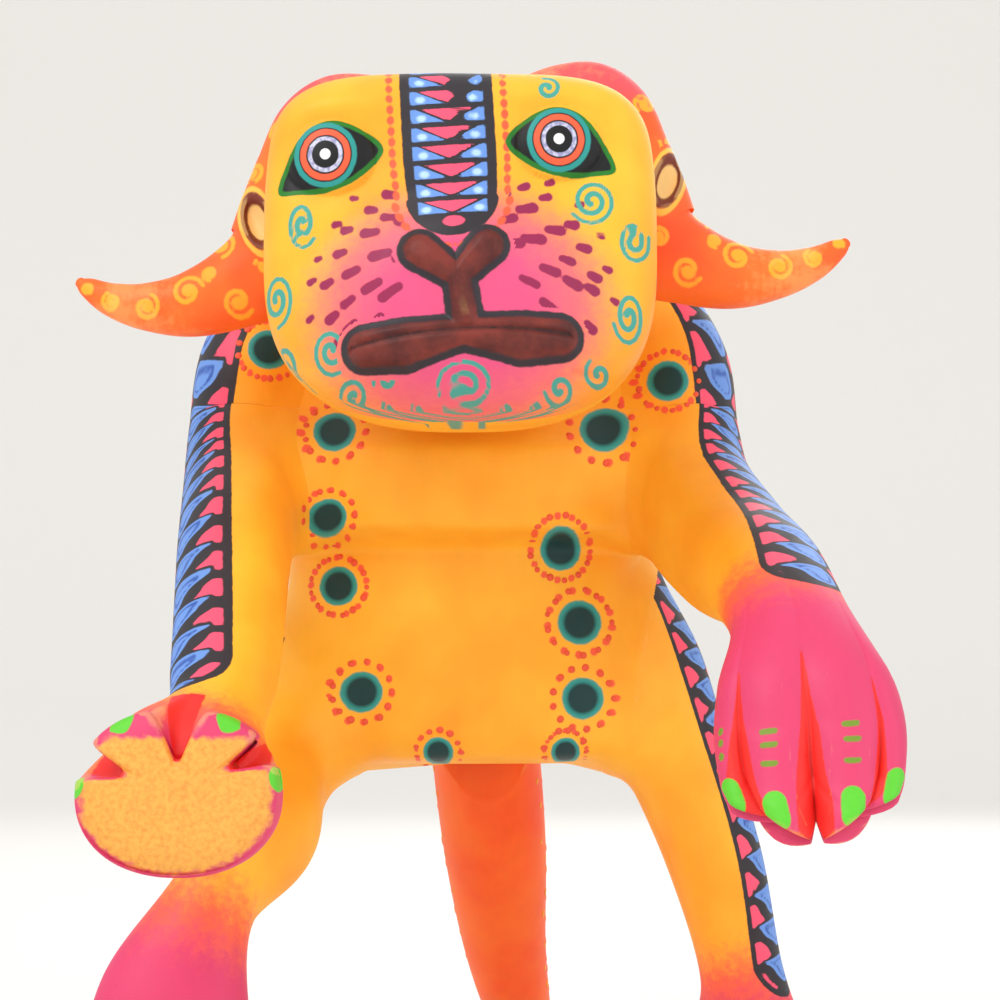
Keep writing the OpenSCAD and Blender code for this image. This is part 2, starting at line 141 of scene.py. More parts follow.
def sweep(rows, side, e=2.2, around=200, step=0.5, shape=None, round_start=0.5, round_end=0.5):
    """A limb: sections [x, y, z, half width, half depth, parting] strung on a smooth curve, with rounded ends.
    shape(c, s, part, along) returns factors for the depth and the size and a reach ahead, in mm."""
    curve, along = even(spline(rows, 24), step)
    mid = curve[:, :3]
    t = np.gradient(mid, axis=0)
    t /= np.linalg.norm(t, axis=1)[:, None]
    v = np.cross(t, np.array(side, float))
    v /= np.linalg.norm(v, axis=1)[:, None]
    u = np.cross(v, t)
    a, b, part = curve[:, 3], curve[:, 4], np.clip(curve[:, 5], 0, 1)
    dome = np.sin(np.linspace(0, math.pi / 2, 9))
    # rounded ends: extra rings that shrink onto a pole
    lead = np.sqrt(np.maximum(1 - dome[1:-1] ** 2, 0))
    def cap(i, sign, depth):
        r = min(a[i], b[i]) * depth
        return (mid[i] + sign * t[i] * r * dome[1:-1, None], np.repeat(u[[i]], 7, 0), np.repeat(v[[i]], 7, 0),
                np.repeat(t[[i]], 7, 0), a[i] * lead, b[i] * lead, np.full(7, part[i]),
                along[i] + sign * r * dome[1:-1])
    head, tail = cap(0, -1, round_start), cap(-1, 1, round_end)
    body = (mid, u, v, t, a, b, part, along)
    mid, u, v, t, a, b, part, along = [np.concatenate([h[::-1], m, x]) for h, m, x in zip(head, body, tail)]
    ang = np.arange(around) * 2 * math.pi / around
    c, s = power(np.cos(ang), e)[None], power(np.sin(ang), e)[None]
    depth, size, reach = shape(c, s, part[:, None], ang[None]) if shape else (1, 1, 0)
    rings = (mid[:, None] + size * (u[:, None] * (a[:, None] * c)[..., None] + v[:, None]
             * (b[:, None] * s * depth)[..., None]) + t[:, None] * (reach * np.ones_like(c + part[:, None]))[..., None]) \
        if shape is None or np.isscalar(size) else \
        (mid[:, None] + (size * (a[:, None] * c))[..., None] * u[:, None] + (size * (b[:, None] * s * depth))[..., None]
         * v[:, None] + t[:, None] * (reach * np.ones_like(c + part[:, None]))[..., None])
    around_mm = ang[None] * ((a + b) / 2)[:, None]
    return Skin(rings, rings[0].mean(0), rings[-1].mean(0), c=c * np.ones_like(a)[:, None], s=s * np.ones_like(a)[:, None],
                ang=np.degrees(ang)[None] * np.ones_like(a)[:, None], along=along[:, None], girth=around_mm,
                part=part[:, None], radius=((a + b) / 2)[:, None], wide=a[:, None], deep=b[:, None])


def across_hand(deg):
    """From 1 at one edge of a hand, over its back or its palm, to -1 at the other edge."""
    return 1 - np.abs((deg + 180) % 360 - 180) / 90


def finger_share(c):
    """The outer fingers are shorter than the two in the middle."""
    return np.where(np.abs(c) > 0.5, 0.5, 1.0)


def fingers_ahead(reach):
    """Four fingers side by side over a rounded hand, parted by grooves."""
    def shape(c, s, part, ang):
        k = across_hand(np.degrees(ang))
        f = np.abs(np.sin(2 * math.pi * k)) ** 0.6
        return 1 - 0.5 * part * (1 - f), 1.0, reach * part * f * finger_share(k)
    return shape


NOTCHES = ((28, 0.40, 9), (90, 0.62, 11), (160, 0.42, 10))      # angle, depth and half width round the forepaw


def toes_round(c, s, part, ang):
    """Toes round the upper rim of a paw, parted by three notches."""
    deg = np.degrees(ang)
    cut = sum(depth * np.exp(-((deg - g) / w) ** 4) for g, depth, w in NOTCHES)
    return 1.0, 1 - part * cut, 0.0


# ---------------------------------------------------------------- paint shapes: signed distances in millimetres
FAR = 50.0


def to_segment(p, q, a, b, ra=0.0, rb=None):
    """Distance to the stroke from a to b, whose half width runs from ra to rb."""
    rb = ra if rb is None else rb
    dx, dy = b[0] - a[0], b[1] - a[1]
    h = np.clip(((p - a[0]) * dx + (q - a[1]) * dy) / max(dx * dx + dy * dy, 1e-9), 0, 1)
    return np.hypot(p - a[0] - h * dx, q - a[1] - h * dy) - (ra + (rb - ra) * h)


def stroke(p, q, points, half, taper=0.0):
    """Distance to a brush stroke through points; the half width shrinks by taper towards the end."""
    d = np.full(p.shape, FAR)
    n = len(points) - 1
    for i in range(n):
        ra, rb = half * (1 - taper * i / n), half * (1 - taper * (i + 1) / n)
        d = np.minimum(d, to_segment(p, q, points[i], points[i + 1], ra, rb))
    return d


def area(p, q, points):
    """Signed distance to a closed outline."""
    d, inside = np.full(p.shape, FAR), np.zeros(p.shape, bool)
    n = len(points)
    for i in range(n):
        a, b = points[i], points[(i + 1) % n]
        d = np.minimum(d, to_segment(p, q, a, b))
        cross = (a[1] > q) != (b[1] > q)
        with np.errstate(divide="ignore", invalid="ignore"):
            x = (b[0] - a[0]) * (q - a[1]) / (b[1] - a[1] if b[1] != a[1] else 1e-9) + a[0]
        inside ^= cross & (p < x)
    return np.where(inside, -d, d)


def loop(points, steps=6):
    """A smooth closed outline through a few points."""
    p = points[-1:] + points + points[:2]
    return [tuple(r) for r in spline(p, steps)[steps:-steps]][:-1]


def spiral(x, z, r, turns=1.6, start=0, hand=1, flat=1.0):
    n = int(14 * turns)
    return [(x + flat * r * (0.14 + 0.86 * k / n) * math.cos(math.radians(start + hand * 360 * turns * k / n)),
             z + r * (0.14 + 0.86 * k / n) * math.sin(math.radians(start + hand * 360 * turns * k / n)))
            for k in range(n + 1)]


def near(p, q, x, z, r):
    return (np.abs(p - x) < r) & (np.abs(q - z) < r)


def put(field, where, values):
    field[where] = np.minimum(field[where], values)


def spirals(p, q, places, half=0.45):
    d = np.full(p.shape, FAR)
    for x, z, r, *rest in places:
        w = near(p, q, x, z, r + 3)
        put(d, w, stroke(p[w], q[w], spiral(x, z, r, *rest), half, 0.35))
    return d


def dots(p, q, places, r):
    d = np.full(p.shape, FAR)
    for x, z in places:
        d = np.minimum(d, np.hypot(p - x, q - z) - r)
    return d


def scales(p, q, half, pitch=6.0, limit=None):
    """A band of leaf-shaped scales with rounded triangles along both edges. p runs across, q along."""
    ground = np.abs(p) - half
    if limit is not None:
        ground = np.maximum(ground, limit)
    x = p * 5.2 / half
    k = half / 5.2
    cell = ((q / pitch + 0.05 * np.sin(q * 1.7)) % 1 * pitch - pitch / 2) / k
    rise = pitch / k / 4.0
    lean = cell + 0.14 * x
    leaf = to_segment(x, lean, (-0.9, 0.2 * rise), (3.2, -0.5 * rise), 1.72 * rise, 0.2)
    core = np.abs(to_segment(x, lean, (-0.9, 0.2 * rise), (1.9, -0.35 * rise), 0.95 * rise, 0.1)) - 0.16
    half_cell = pitch / k / 2
    other = np.where(cell > 0, cell - half_cell, cell + half_cell)
    edge = np.minimum(to_segment(x, other, (3.9, -0.25), (1.9, 0.3), 1.35 * rise, 0.2),
                      to_segment(x, other, (-3.9, 0.3), (-2.6, 0.1), 1.1 * rise, 0.2))
    inner = ground / k + 0.75
    return {"band": ground, "band_scale": np.maximum(leaf, inner) * k, "band_core": np.maximum(core, inner) * k,
            "band_tri": np.maximum(edge, np.maximum(inner, 0.35 - leaf)) * k}


def eyespots(p, q, places):
    """Distance in mm from the nearest spot's middle, and the ring of dots round each."""
    r, ring = np.full(p.shape, FAR), np.full(p.shape, FAR)
    for i, (x, z, size) in enumerate(places):
        w = near(p, q, x, z, 9)
        rr = np.hypot(p[w] - x, q[w] - z) * 3.4 / size
        put(r, w, rr)
        a = np.arctan2(q[w] - z, p[w] - x) + 0.4 * i
        n = 13
        step = 2 * math.pi / n
        off = (a / step) % 1 - 0.5
        put(ring, w, np.hypot(rr - 5.0, off * step * rr) - 0.62)
    return {"spot": r, "spot_dots": ring}


# ---------------------------------------------------------------- materials
def group(name, inputs, outputs):
    g = bpy.data.node_groups.new(name, "ShaderNodeTree")
    for n, kind, value in inputs:
        s = g.interface.new_socket(n, in_out="INPUT", socket_type=kind)
        if value is not None:
            s.default_value = value
    for n, kind in outputs:
        g.interface.new_socket(n, in_out="OUTPUT", socket_type=kind)
    return g, g.nodes.new("NodeGroupInput"), g.nodes.new("NodeGroupOutput")


def node(tree, kind, **settings):
    n = tree.nodes.new(kind)
    for k, v in settings.items():
        setattr(n, k, v)
    return n


def maths(tree, op, a, b=None, c=None, clamp=False):
    n = node(tree, "ShaderNodeMath", operation=op, use_clamp=clamp)
    for i, v in enumerate((a, b, c)):
        if v is None:
            continue
        if isinstance(v, (int, float)):
            n.inputs[i].default_value = v
        else:
            tree.links.new(v, n.inputs[i])
    return n.outputs[0]


def noise(tree, scale, detail=3.0, roughness=0.5, stretch=None):
    co = node(tree, "ShaderNodeTexCoord").outputs["Object"]
    if stretch:
        m = node(tree, "ShaderNodeMapping")
        m.inputs["Scale"].default_value = stretch
        tree.links.new(co, m.inputs["Vector"])
        co = m.outputs[0]
    n = node(tree, "ShaderNodeTexNoise")
    n.inputs["Scale"].default_value = scale
    n.inputs["Detail"].default_value = detail
    n.inputs["Roughness"].default_value = roughness
    tree.links.new(co, n.inputs["Vector"])
    return n


def make_paint_edge():
    """Mask of a painted shape from its signed distance: 1 inside, with a brush-worn edge."""
    g, i, o = group("Paint edge", [("Distance", "NodeSocketFloat", 0), ("Softness", "NodeSocketFloat", 0.12),
                                   ("Raggedness", "NodeSocketFloat", 0.15)], [("Mask", "NodeSocketFloat")])
    wobble = maths(g, "SUBTRACT", noise(g, 900, 2).outputs["Fac"], 0.5)
    d = maths(g, "MULTIPLY_ADD", wobble, i.outputs["Raggedness"], i.outputs["Distance"])
    m = node(g, "ShaderNodeMapRange", interpolation_type="SMOOTHSTEP")
    g.links.new(d, m.inputs["Value"])
    g.links.new(i.outputs["Softness"], m.inputs["From Min"])
    g.links.new(maths(g, "MULTIPLY", i.outputs["Softness"], -1.0), m.inputs["From Max"])
    g.links.new(m.outputs[0], o.inputs["Mask"])
    return g


def make_brush_grain():
    """Brushed acrylic over carved wood: tone variation, a bump height and a roughness."""
    g, i, o = group("Brush and grain", [("Tone amount", "NodeSocketFloat", 0.10), ("Grain amount", "NodeSocketFloat", 0.5)],
                    [("Tone", "NodeSocketFloat"), ("Height", "NodeSocketFloat"), ("Roughness", "NodeSocketFloat")])
    broad = noise(g, 90, 4, 0.6).outputs["Fac"]
    brush = noise(g, 500, 5, 0.65, (1.0, 1.0, 0.22)).outputs["Fac"]
    fine = noise(g, 3200, 2, 0.5).outputs["Fac"]
    tone = maths(g, "ADD", maths(g, "MULTIPLY", maths(g, "SUBTRACT", broad, 0.5), 1.2), maths(g, "SUBTRACT", brush, 0.5))
    g.links.new(maths(g, "MULTIPLY_ADD", tone, i.outputs["Tone amount"], 1.0), o.inputs["Tone"])
    h = maths(g, "MULTIPLY_ADD", fine, i.outputs["Grain amount"], maths(g, "MULTIPLY", brush, 0.8))
    g.links.new(h, o.inputs["Height"])
    g.links.new(maths(g, "MULTIPLY_ADD", maths(g, "SUBTRACT", brush, 0.5), 0.25, 0.50), o.inputs["Roughness"])
    return g


def make_worn_edges():
    """Mask of the ridges, where handling has rubbed the paint thin, broken up by a noise."""
    g, i, o = group("Worn edges", [("Edge", "NodeSocketFloat", 0), ("Amount", "NodeSocketFloat", 0.3),
                                   ("Start", "NodeSocketFloat", 1.1)], [("Mask", "NodeSocketFloat")])
    broken = maths(g, "MULTIPLY_ADD", maths(g, "SUBTRACT", noise(g, 420, 4, 0.7).outputs["Fac"], 0.5), 1.6, i.outputs["Edge"])
    m = node(g, "ShaderNodeMapRange", interpolation_type="SMOOTHSTEP")
    g.links.new(broken, m.inputs["Value"])
    g.links.new(i.outputs["Start"], m.inputs["From Min"])
    g.links.new(maths(g, "ADD", i.outputs["Start"], 0.8), m.inputs["From Max"])
    g.links.new(maths(g, "MULTIPLY", m.outputs[0], i.outputs["Amount"]), o.inputs["Mask"])
    return g


PAINT_EDGE, BRUSH_GRAIN, WORN_EDGES = make_paint_edge(), make_brush_grain(), make_worn_edges()


def srgb(r, g, b):
    f = lambda c: c / 12.92 if c <= 0.04045 else ((c + 0.055) / 1.055) ** 2.4
    return (f(r / 255), f(g / 255), f(b / 255), 1.0)


def attribute(tree, name):
    return node(tree, "ShaderNodeAttribute", attribute_name=name).outputs["Fac"]


def mix(tree, fac, a, b, blend="MIX"):
    n = node(tree, "ShaderNodeMix", data_type="RGBA", blend_type=blend)
    for s, v in ((n.inputs[0], fac), (n.inputs[6], a), (n.inputs[7], b)):
        if isinstance(v, (int, float, tuple)):
            s.default_value = v
        else:
            tree.links.new(v, s)
    return n.outputs[2]


def ramp(tree, fac, stops, constant=False):
    n = node(tree, "ShaderNodeValToRGB")
    n.color_ramp.interpolation = "CONSTANT" if constant else "LINEAR"
    while len(n.color_ramp.elements) < len(stops):
        n.color_ramp.elements.new(0.5)
    for el, (pos, col) in zip(n.color_ramp.elements, stops):
        el.position, el.color = pos, col
    if fac is not None:
        tree.links.new(fac, n.inputs[0])
    return n.outputs[0]


def painted(name, ground, layers, wear=0.3, wear_start=1.1):
    """Paint over carved wood. ground(tree) gives the ground colour. layers: (field, colour, softness, raggedness),
    where colour is a colour or a function of the tree."""
    mat = bpy.data.materials.new(name)
    mat.use_nodes = True
    t = mat.node_tree
    t.nodes.clear()
    out, bsdf = node(t, "ShaderNodeOutputMaterial"), node(t, "ShaderNodeBsdfPrincipled")
    t.links.new(bsdf.outputs[0], out.inputs[0])
    colour = ground(t)
    relief = None
    for field, paint, soft, ragged in layers:
        e = node(t, "ShaderNodeGroup", node_tree=PAINT_EDGE)
        e.inputs["Softness"].default_value, e.inputs["Raggedness"].default_value = soft, ragged
        t.links.new(attribute(t, field), e.inputs["Distance"])
        colour = mix(t, e.outputs["Mask"], colour, paint(t) if callable(paint) else paint)
        relief = e.outputs["Mask"] if relief is None else maths(t, "MAXIMUM", relief, e.outputs["Mask"])
    worn = node(t, "ShaderNodeGroup", node_tree=WORN_EDGES)
    worn.inputs["Amount"].default_value, worn.inputs["Start"].default_value = wear, wear_start
    t.links.new(attribute(t, "edge"), worn.inputs["Edge"])
    colour = mix(t, worn.outputs["Mask"], colour, srgb(255, 214, 130))
    bg = node(t, "ShaderNodeGroup", node_tree=BRUSH_GRAIN)
    toned = node(t, "ShaderNodeVectorMath", operation="SCALE")
    t.links.new(colour, toned.inputs[0])
    t.links.new(bg.outputs["Tone"], toned.inputs["Scale"])
    t.links.new(toned.outputs[0], bsdf.inputs["Base Color"])
    t.links.new(bg.outputs["Roughness"], bsdf.inputs["Roughness"])
    bsdf.inputs["Specular IOR Level"].default_value = 0.35
    height = bg.outputs["Height"]
    if relief is not None:
        height = maths(t, "ADD", height, relief)
    bump = node(t, "ShaderNodeBump")
    bump.inputs["Strength"].default_value, bump.inputs["Distance"].default_value = 0.35, 0.00012
    t.links.new(height, bump.inputs["Height"])
    t.links.new(bump.outputs[0], bsdf.inputs["Normal"])
    return mat


YELLOW, AMBER, ORANGE = srgb(255, 190, 50), srgb(252, 160, 30), srgb(255, 92, 30)
PINK, HOT_PINK, MAGENTA = srgb(240, 120, 150), srgb(228, 70, 125), srgb(150, 32, 80)
CHARCOAL, TEAL, DARK_TEAL, LIGHT_TEAL = srgb(46, 42, 48), srgb(70, 165, 150), srgb(8, 60, 62), srgb(40, 150, 145)
BLUE, DEEP_BLUE, SKY, CORAL = srgb(105, 150, 225), srgb(52, 90, 175), srgb(185, 220, 248), srgb(245, 95, 60)
RED, BROWN, GREEN, OLIVE = srgb(235, 45, 40), srgb(98, 34, 30), srgb(95, 205, 50), srgb(120, 150, 45)
SCALE_RED, LILAC, DARK_GREEN, BLACK, WHITE = (srgb(248, 85, 118), srgb(205, 205, 228), srgb(30, 120, 35),
                                              srgb(10, 12, 16), srgb(250, 250, 250))
BAND = [("band", CHARCOAL, 0.10, 0.25), ("band_tri", SCALE_RED, 0.12, 0.25), ("band_scale", BLUE, 0.12, 0.25),
        ("band_core", DEEP_BLUE, 0.20, 0.3)]


def skin_ground(extra=None):
    """Yellow brushed over orange, broad and uneven."""
    def ground(t):
        broad = noise(t, 38, 3, 0.55).outputs["Fac"]
        c = ramp(t, broad, [(0.30, AMBER), (0.62, YELLOW)])
        return extra(t, c) if extra else c
    return ground


def fade(field, colour, lo, hi, mottled=0.25):
    """Blends towards colour as the field goes from lo to hi, with a sponged edge."""
    def extra(t, c):
        f = maths(t, "MULTIPLY_ADD", maths(t, "SUBTRACT", noise(t, 700, 4, 0.7).outputs["Fac"], 0.5), mottled * (hi - lo) * 2,
                  attribute(t, field))
        m = node(t, "ShaderNodeMapRange", interpolation_type="SMOOTHSTEP")
        t.links.new(f, m.inputs["Value"])
        m.inputs["From Min"].default_value, m.inputs["From Max"].default_value = lo, hi
        return mix(t, m.outputs[0], c, colour)
    return extra


def chain(*steps):
    def extra(t, c):
        for s in steps:
            c = s(t, c)
        return c
    return extra


def spot_layers():
    def spot_colour(t):
        return ramp(t, maths(t, "DIVIDE", attribute(t, "spot"), 4.0),
                    [(0.0, DARK_TEAL), (0.55, DARK_TEAL), (0.70, LIGHT_TEAL), (0.88, TEAL)])
    return [("spot_dots", CORAL, 0.15, 0.3), ("spot_edge", spot_colour, 0.2, 0.35)]


# ---------------------------------------------------------------- head
HEAD_Z = 139.5


def carve_head():
    lo, hi = box_mm("head")
    w, h = (hi[0] - lo[0]), 52.0
    zc, neck = HEAD_Z, hi[1]
    rows = [[0, 0, .30, .30, 2.4], [1.0, 0, .37, .38, 2.5], [4, 0, .425, .45, 2.7], [9.7, 0, .455, .485, 2.8],
            [20.5, 0, .485, .50, 3], [31, 0, .497, .50, 3.1], [38, 0, .495, .497, 3.1], [42, 0, .480, .485, 3.1],
            [45, 0, .445, .455, 3.0], [46.6, 0, .39, .41, 2.8], [47.4, 0, .30, .32, 2.5], [47.9, 0, .20, .21, 2.2],
            [48.1, 0, .10, .10, 2], [48.2, 0, .002, .002, 2]]
    curve = spline(rows, 30)
    profile = np.stack([curve[:, 0], curve[:, 2] * w, curve[:, 3] * h, curve[:, 4]], 1)
    d = np.r_[0, np.cumsum(np.hypot(np.diff(profile[:, 0]), np.diff(profile[:, 1])))]
    s = np.r_[np.arange(0, d[-1] - 34, 0.55), np.linspace(d[-1] - 34, d[-1] - 0.15, 96)]
    dep, rx, rz, e = [np.interp(s, d, profile[:, k]) for k in range(4)]
    around = 470
    ang = np.arange(around) * 2 * math.pi / around
    c, sn = np.cos(ang)[None], np.sin(ang)[None]
    square = e[:, None] + 1.3 * smooth(-0.1, 0.5, sn)       # the crown is squarer than the jaw
    x = rx[:, None] * power(c, square)
    z = rz[:, None] * power(sn, square)
    y = np.broadcast_to(neck - dep[:, None], x.shape).copy()
    fx, fz = face_frame(x, z)
    front = smooth(-62, -74, y)
    muzzle = np.clip(1 - ((fx / 24) ** 2 + ((fz + 11) / 18.5) ** 2), 0, 1)
    out = 4.6 * smooth(0, 1, muzzle) + 0.6 * np.exp(-(fx / 6.0) ** 2) * smooth(-6, 2, fz)
    for side in (-1, 1):
        ex, ez = fx - side * 16.9 + 0.7, fz - 12.5
        out -= 1.1 * np.exp(-((ex / 8.5) ** 2 + (ez / 6.5) ** 2) ** 2)
        out += 2.2 * np.sqrt(np.clip(1 - (ex / 6.6) ** 2 - (ez / 5.6) ** 2, 0, 1))
        out += 0.8 * np.exp(-((fx - side * 17) / 9) ** 2 - ((fz - 20.5) / 2.6) ** 2)
    snout = snout_distance(fx, fz)
    out += 1.5 * smooth(1.2, -1.4, snout)
    out -= 0.7 * np.exp(-(lip_line(fx, fz) / 0.5) ** 2)
    out -= 0.5 * np.exp(-((fx / 12) ** 2) - ((fz + 22.6) / 1.8) ** 2)
    y = np.maximum(y - out * front, -83.9)
    # flats that the ears are plugged onto
    seat = (y > -49.6) & (z > -12.6)
    x = np.where(seat, np.clip(x, -23.9, 23.9), x)
    rings = np.stack([x, y, z + zc], -1)
    return Skin(rings[:, ::-1], rings[0].mean(0), rings[-1].mean(0))


def face_frame(x, z):
    """The face is set a little askew: its own axes, from the head's middle."""
    a = math.radians(3.5)
    x0 = x + 0.7
    return x0 * math.cos(a) + z * math.sin(a), -x0 * math.sin(a) + z * math.cos(a)


def snout_distance(p, q):
    """Nose lobes, the stem and both lips as one shape."""
    d = np.minimum(to_segment(p, q, (-5.2, -3.3), (-0.6, -7.0), 2.3, 1.6), to_segment(p, q, (4.7, -3.2), (0.8, -7.0), 2.3, 1.6))
    d = np.minimum(d, to_segment(p, q, (0.3, -7.5), (0.9, -14), 1.6, 1.8))
    for side in (-1, 1):
        d = np.minimum(d, to_segment(p, q, (0.3, -15.6), (0.2 + side * 8.5, -16.9), 1.8, 3.0))
        d = np.minimum(d, to_segment(p, q, (0.2 + side * 8.5, -16.9), (0.2 + side * 14.3, -16.9), 3.0, 2.5))
    return d


def lip_line(p, q):
    return q + 15.2 + 0.0055 * p ** 2 + np.where(np.abs(p) > 16.2, 5, 0)


def eye_outline(side):
    pts = [(9.0, 13.1), (12.6, 16.6), (17.2, 17.9), (21.6, 15.4), (25.2, 8.2), (21.4, 7.2), (17.2, 7.2), (12.6, 9.0)]
    return loop([(side * x - 0.7, z) for x, z in pts])


def paint_head(skin):
    x, y, z = skin.co.T
    z = z - HEAD_Z
    crown = z + np.where(z > 12, np.maximum(0, y + 73), 0)     # unrolled height, over the crown
    side_x = x + np.sign(x) * np.maximum(0, y + 70) * (np.abs(z) < 26)    # unrolled width, round the cheeks
    p, q = face_frame(x, z)
    p2, q2 = face_frame(x, crown)
    back = y > -60
    front = ~back
    f = {}
    # stripe down the brow and nose: rows of triangles
    end = 4.9
    half = 6.9 - 0.5 * smooth(12, 0, q2)
    f["stripe"] = np.where(q2 > end, np.abs(p2) - half, np.hypot(p2 / 1.06, q2 - end) - (half - 0.1))
    f["stripe"] = np.where(z < -14, FAR, f["stripe"])
    pitch = 2.85
    row = (q2 - 2.0) / pitch
    cell = (row - np.floor(row)) * pitch              # 0 at the apex of a row's triangle, pitch at its flat top
    live = (row > 0)
    wide = 4.4 * (cell - 0.25) / (pitch - 0.65)
    tri = np.maximum(np.abs(p2 + 0.15 * np.sin(row * 2)) - wide, np.maximum(cell - (pitch - 0.42), 0.30 - cell) * 1.0) + 0.12
    f["stripe_tri"] = np.where(live, tri, np.hypot(p2 / 1.9, (q2 - 0.9)) - 0.85)
    inner = np.abs(p2) - (half - 1.45)
    blue = np.maximum(inner, np.maximum(wide + 0.45 - np.abs(p2), np.maximum(cell - (pitch - 0.5), 0.25 - cell)))
    f["stripe_blue"] = np.where(live, blue, FAR)
    f["stripe_dot"] = np.where(live, np.hypot((np.abs(p2) - 3.9) / 1.35, cell - 0.95) - 0.52, FAR)
    # short dashes round the stripe
    arc = np.where(q2 > end, q2 - end, -np.arctan2(np.abs(p2), np.maximum(end - q2, 1e-3)) * 8.2 + 8.2 * math.pi / 2 * 0)
    rim = np.where(q2 > end, np.abs(p2) - half - 1.55, np.hypot(p2 / 1.06, q2 - end) - half - 1.45)
    t = np.where(q2 > end, (q2 - end) / 1.65, (math.pi / 2 - np.arctan2(np.abs(p2), np.maximum(end - q2, 1e-6))) * -4.6)
    f["dash"] = np.where(z > -3.2, np.hypot(rim / 0.85, ((t % 1) - 0.5) * 1.65 / 1.15) - 0.64, FAR)
    # eyes
    f["eye"] = np.minimum(area(p, q, eye_outline(-1)), area(p, q, eye_outline(1)))
    f["iris"] = np.minimum(np.hypot(p - 16.2, (q - 12.8) * 0.96), np.hypot(p + 18.3, (q - 12.7) * 0.96))
    for k in ("eye", "iris"):
        f[k] = np.where(front, f[k], FAR)
    # snout
    f["snout"] = np.where(front, snout_distance(p, q), FAR)
    f["lip"] = np.where(front & (f["snout"] < 0.2), np.abs(lip_line(p, q)) - 0.16, FAR)
    f["muzzle"] = np.where(front, 1.25 - np.hypot(p / 21, (q + 12) / 17.5), -1)
    # magenta dabs that fan out over the cheeks, longer near the nose
    d = np.full(x.shape, FAR)
    for side in (-1, 1):
        for r0, angles, long, thick in ((9.8, (2, 40), 1.3, 0.75), (13.2, (-14, 8, 32, 58), 1.15, 0.88),
                                        (16.4, (-15, 2, 19, 36, 52, 68), 0.85, 0.82),
                                        (19.4, (-17, -4, 9, 22, 35, 48, 61), 0.5, 0.74), (22.0, (-4, 9, 22, 36, 50), 0.3, 0.55)):
            for deg in angles:
                a = math.radians(deg + rng.uniform(-4, 4))
                r = r0 + rng.uniform(-0.5, 0.5)
                size = rng.uniform(0.85, 1.15)
                cx, cz = 0.5 + side * r * math.cos(a), -9.6 + 0.95 * r * math.sin(a)
                w = near(p, q, cx, cz, 5)
                tilt = 0.75 * a - 0.55
                ax, az = side * math.cos(tilt) * long * size, math.sin(tilt) * long * size
                put(d, w, to_segment(p[w], q[w], (cx - ax, cz - az), (cx + ax, cz + az), thick * size * 0.8, thick * size))
    f["dab"] = np.where(front & (f["snout"] > 1.5) & (f["stripe"] > 1.2), d, FAR)
    # teal spirals and swirls
    teal = spirals(side_x, z, [(-23.2, 1.4, 3.8, 1.8, 40, 1, 0.6), (-27.0, -9.5, 4.0, 1.8, 200, -1, 0.6), (-33.5, -1.0, 3.4, 1.6, 90, 1, 0.8),
                               (-18.8, -17.6, 3.4, 1.8, 10, 1, 0.8), (-26.5, -19.0, 3.2, 1.6, 120, -1, 0.7), (-15.6, -23.8, 2.2, 1.3, 70),
                               (19.6, 4.7, 3.5, 2.1, 250, -1), (25.8, -0.9, 3.5, 1.9, 60, 1, 0.72), (25.0, -12.2, 4.1, 1.9, 160, -1, 0.58),
                               (1.1, -22.8, 3.6, 2.0, 200, 1, 1.2), (33.5, -6.0, 3.0, 1.7, 30, 1, 0.8), (14.8, -22.9, 2.3, 1.3, 300, -1),
                               (-36.0, 12.0, 3.4, 1.8, 0), (37.0, 8.0, 3.4, 1.8, 90, -1), (13.0, 21.8, 2.0, 1.3, 0),
                               (-10.7, -22.0, 1.9, 1.1, 160), (20.6, -20.6, 2.2, 1.2, 200, -1)])
    for k in range(9):      # leaves along the chin
        cx = -17.6 + 4.4 * k
        cz = -26.2 + 0.004 * cx * cx
        w = near(side_x, z, cx, cz, 4)
        put(teal, w, stroke(side_x[w], z[w], [(cx - 1.7, cz + 0.6), (cx - 0.4, cz - 0.7), (cx + 1.5, cz - 0.4), (cx + 1.9, cz + 0.8)],
                            0.42, 0.4))
    f["teal"] = np.where((y < -48) & (f["snout"] > 1.6), teal, FAR)
    f["snout_rim"] = f["snout"] - 1.05
    f["eye_in"] = f["eye"] + 0.75
    rings = {"iris_teal": 4.7, "iris_line": 3.95, "iris_red": 3.75, "iris_black": 2.85, "iris_white": 2.6, "pupil": 2.0, "glint": 0.8}
    for key, r in rings.items():
        f[key] = f["iris"] - r
    return f


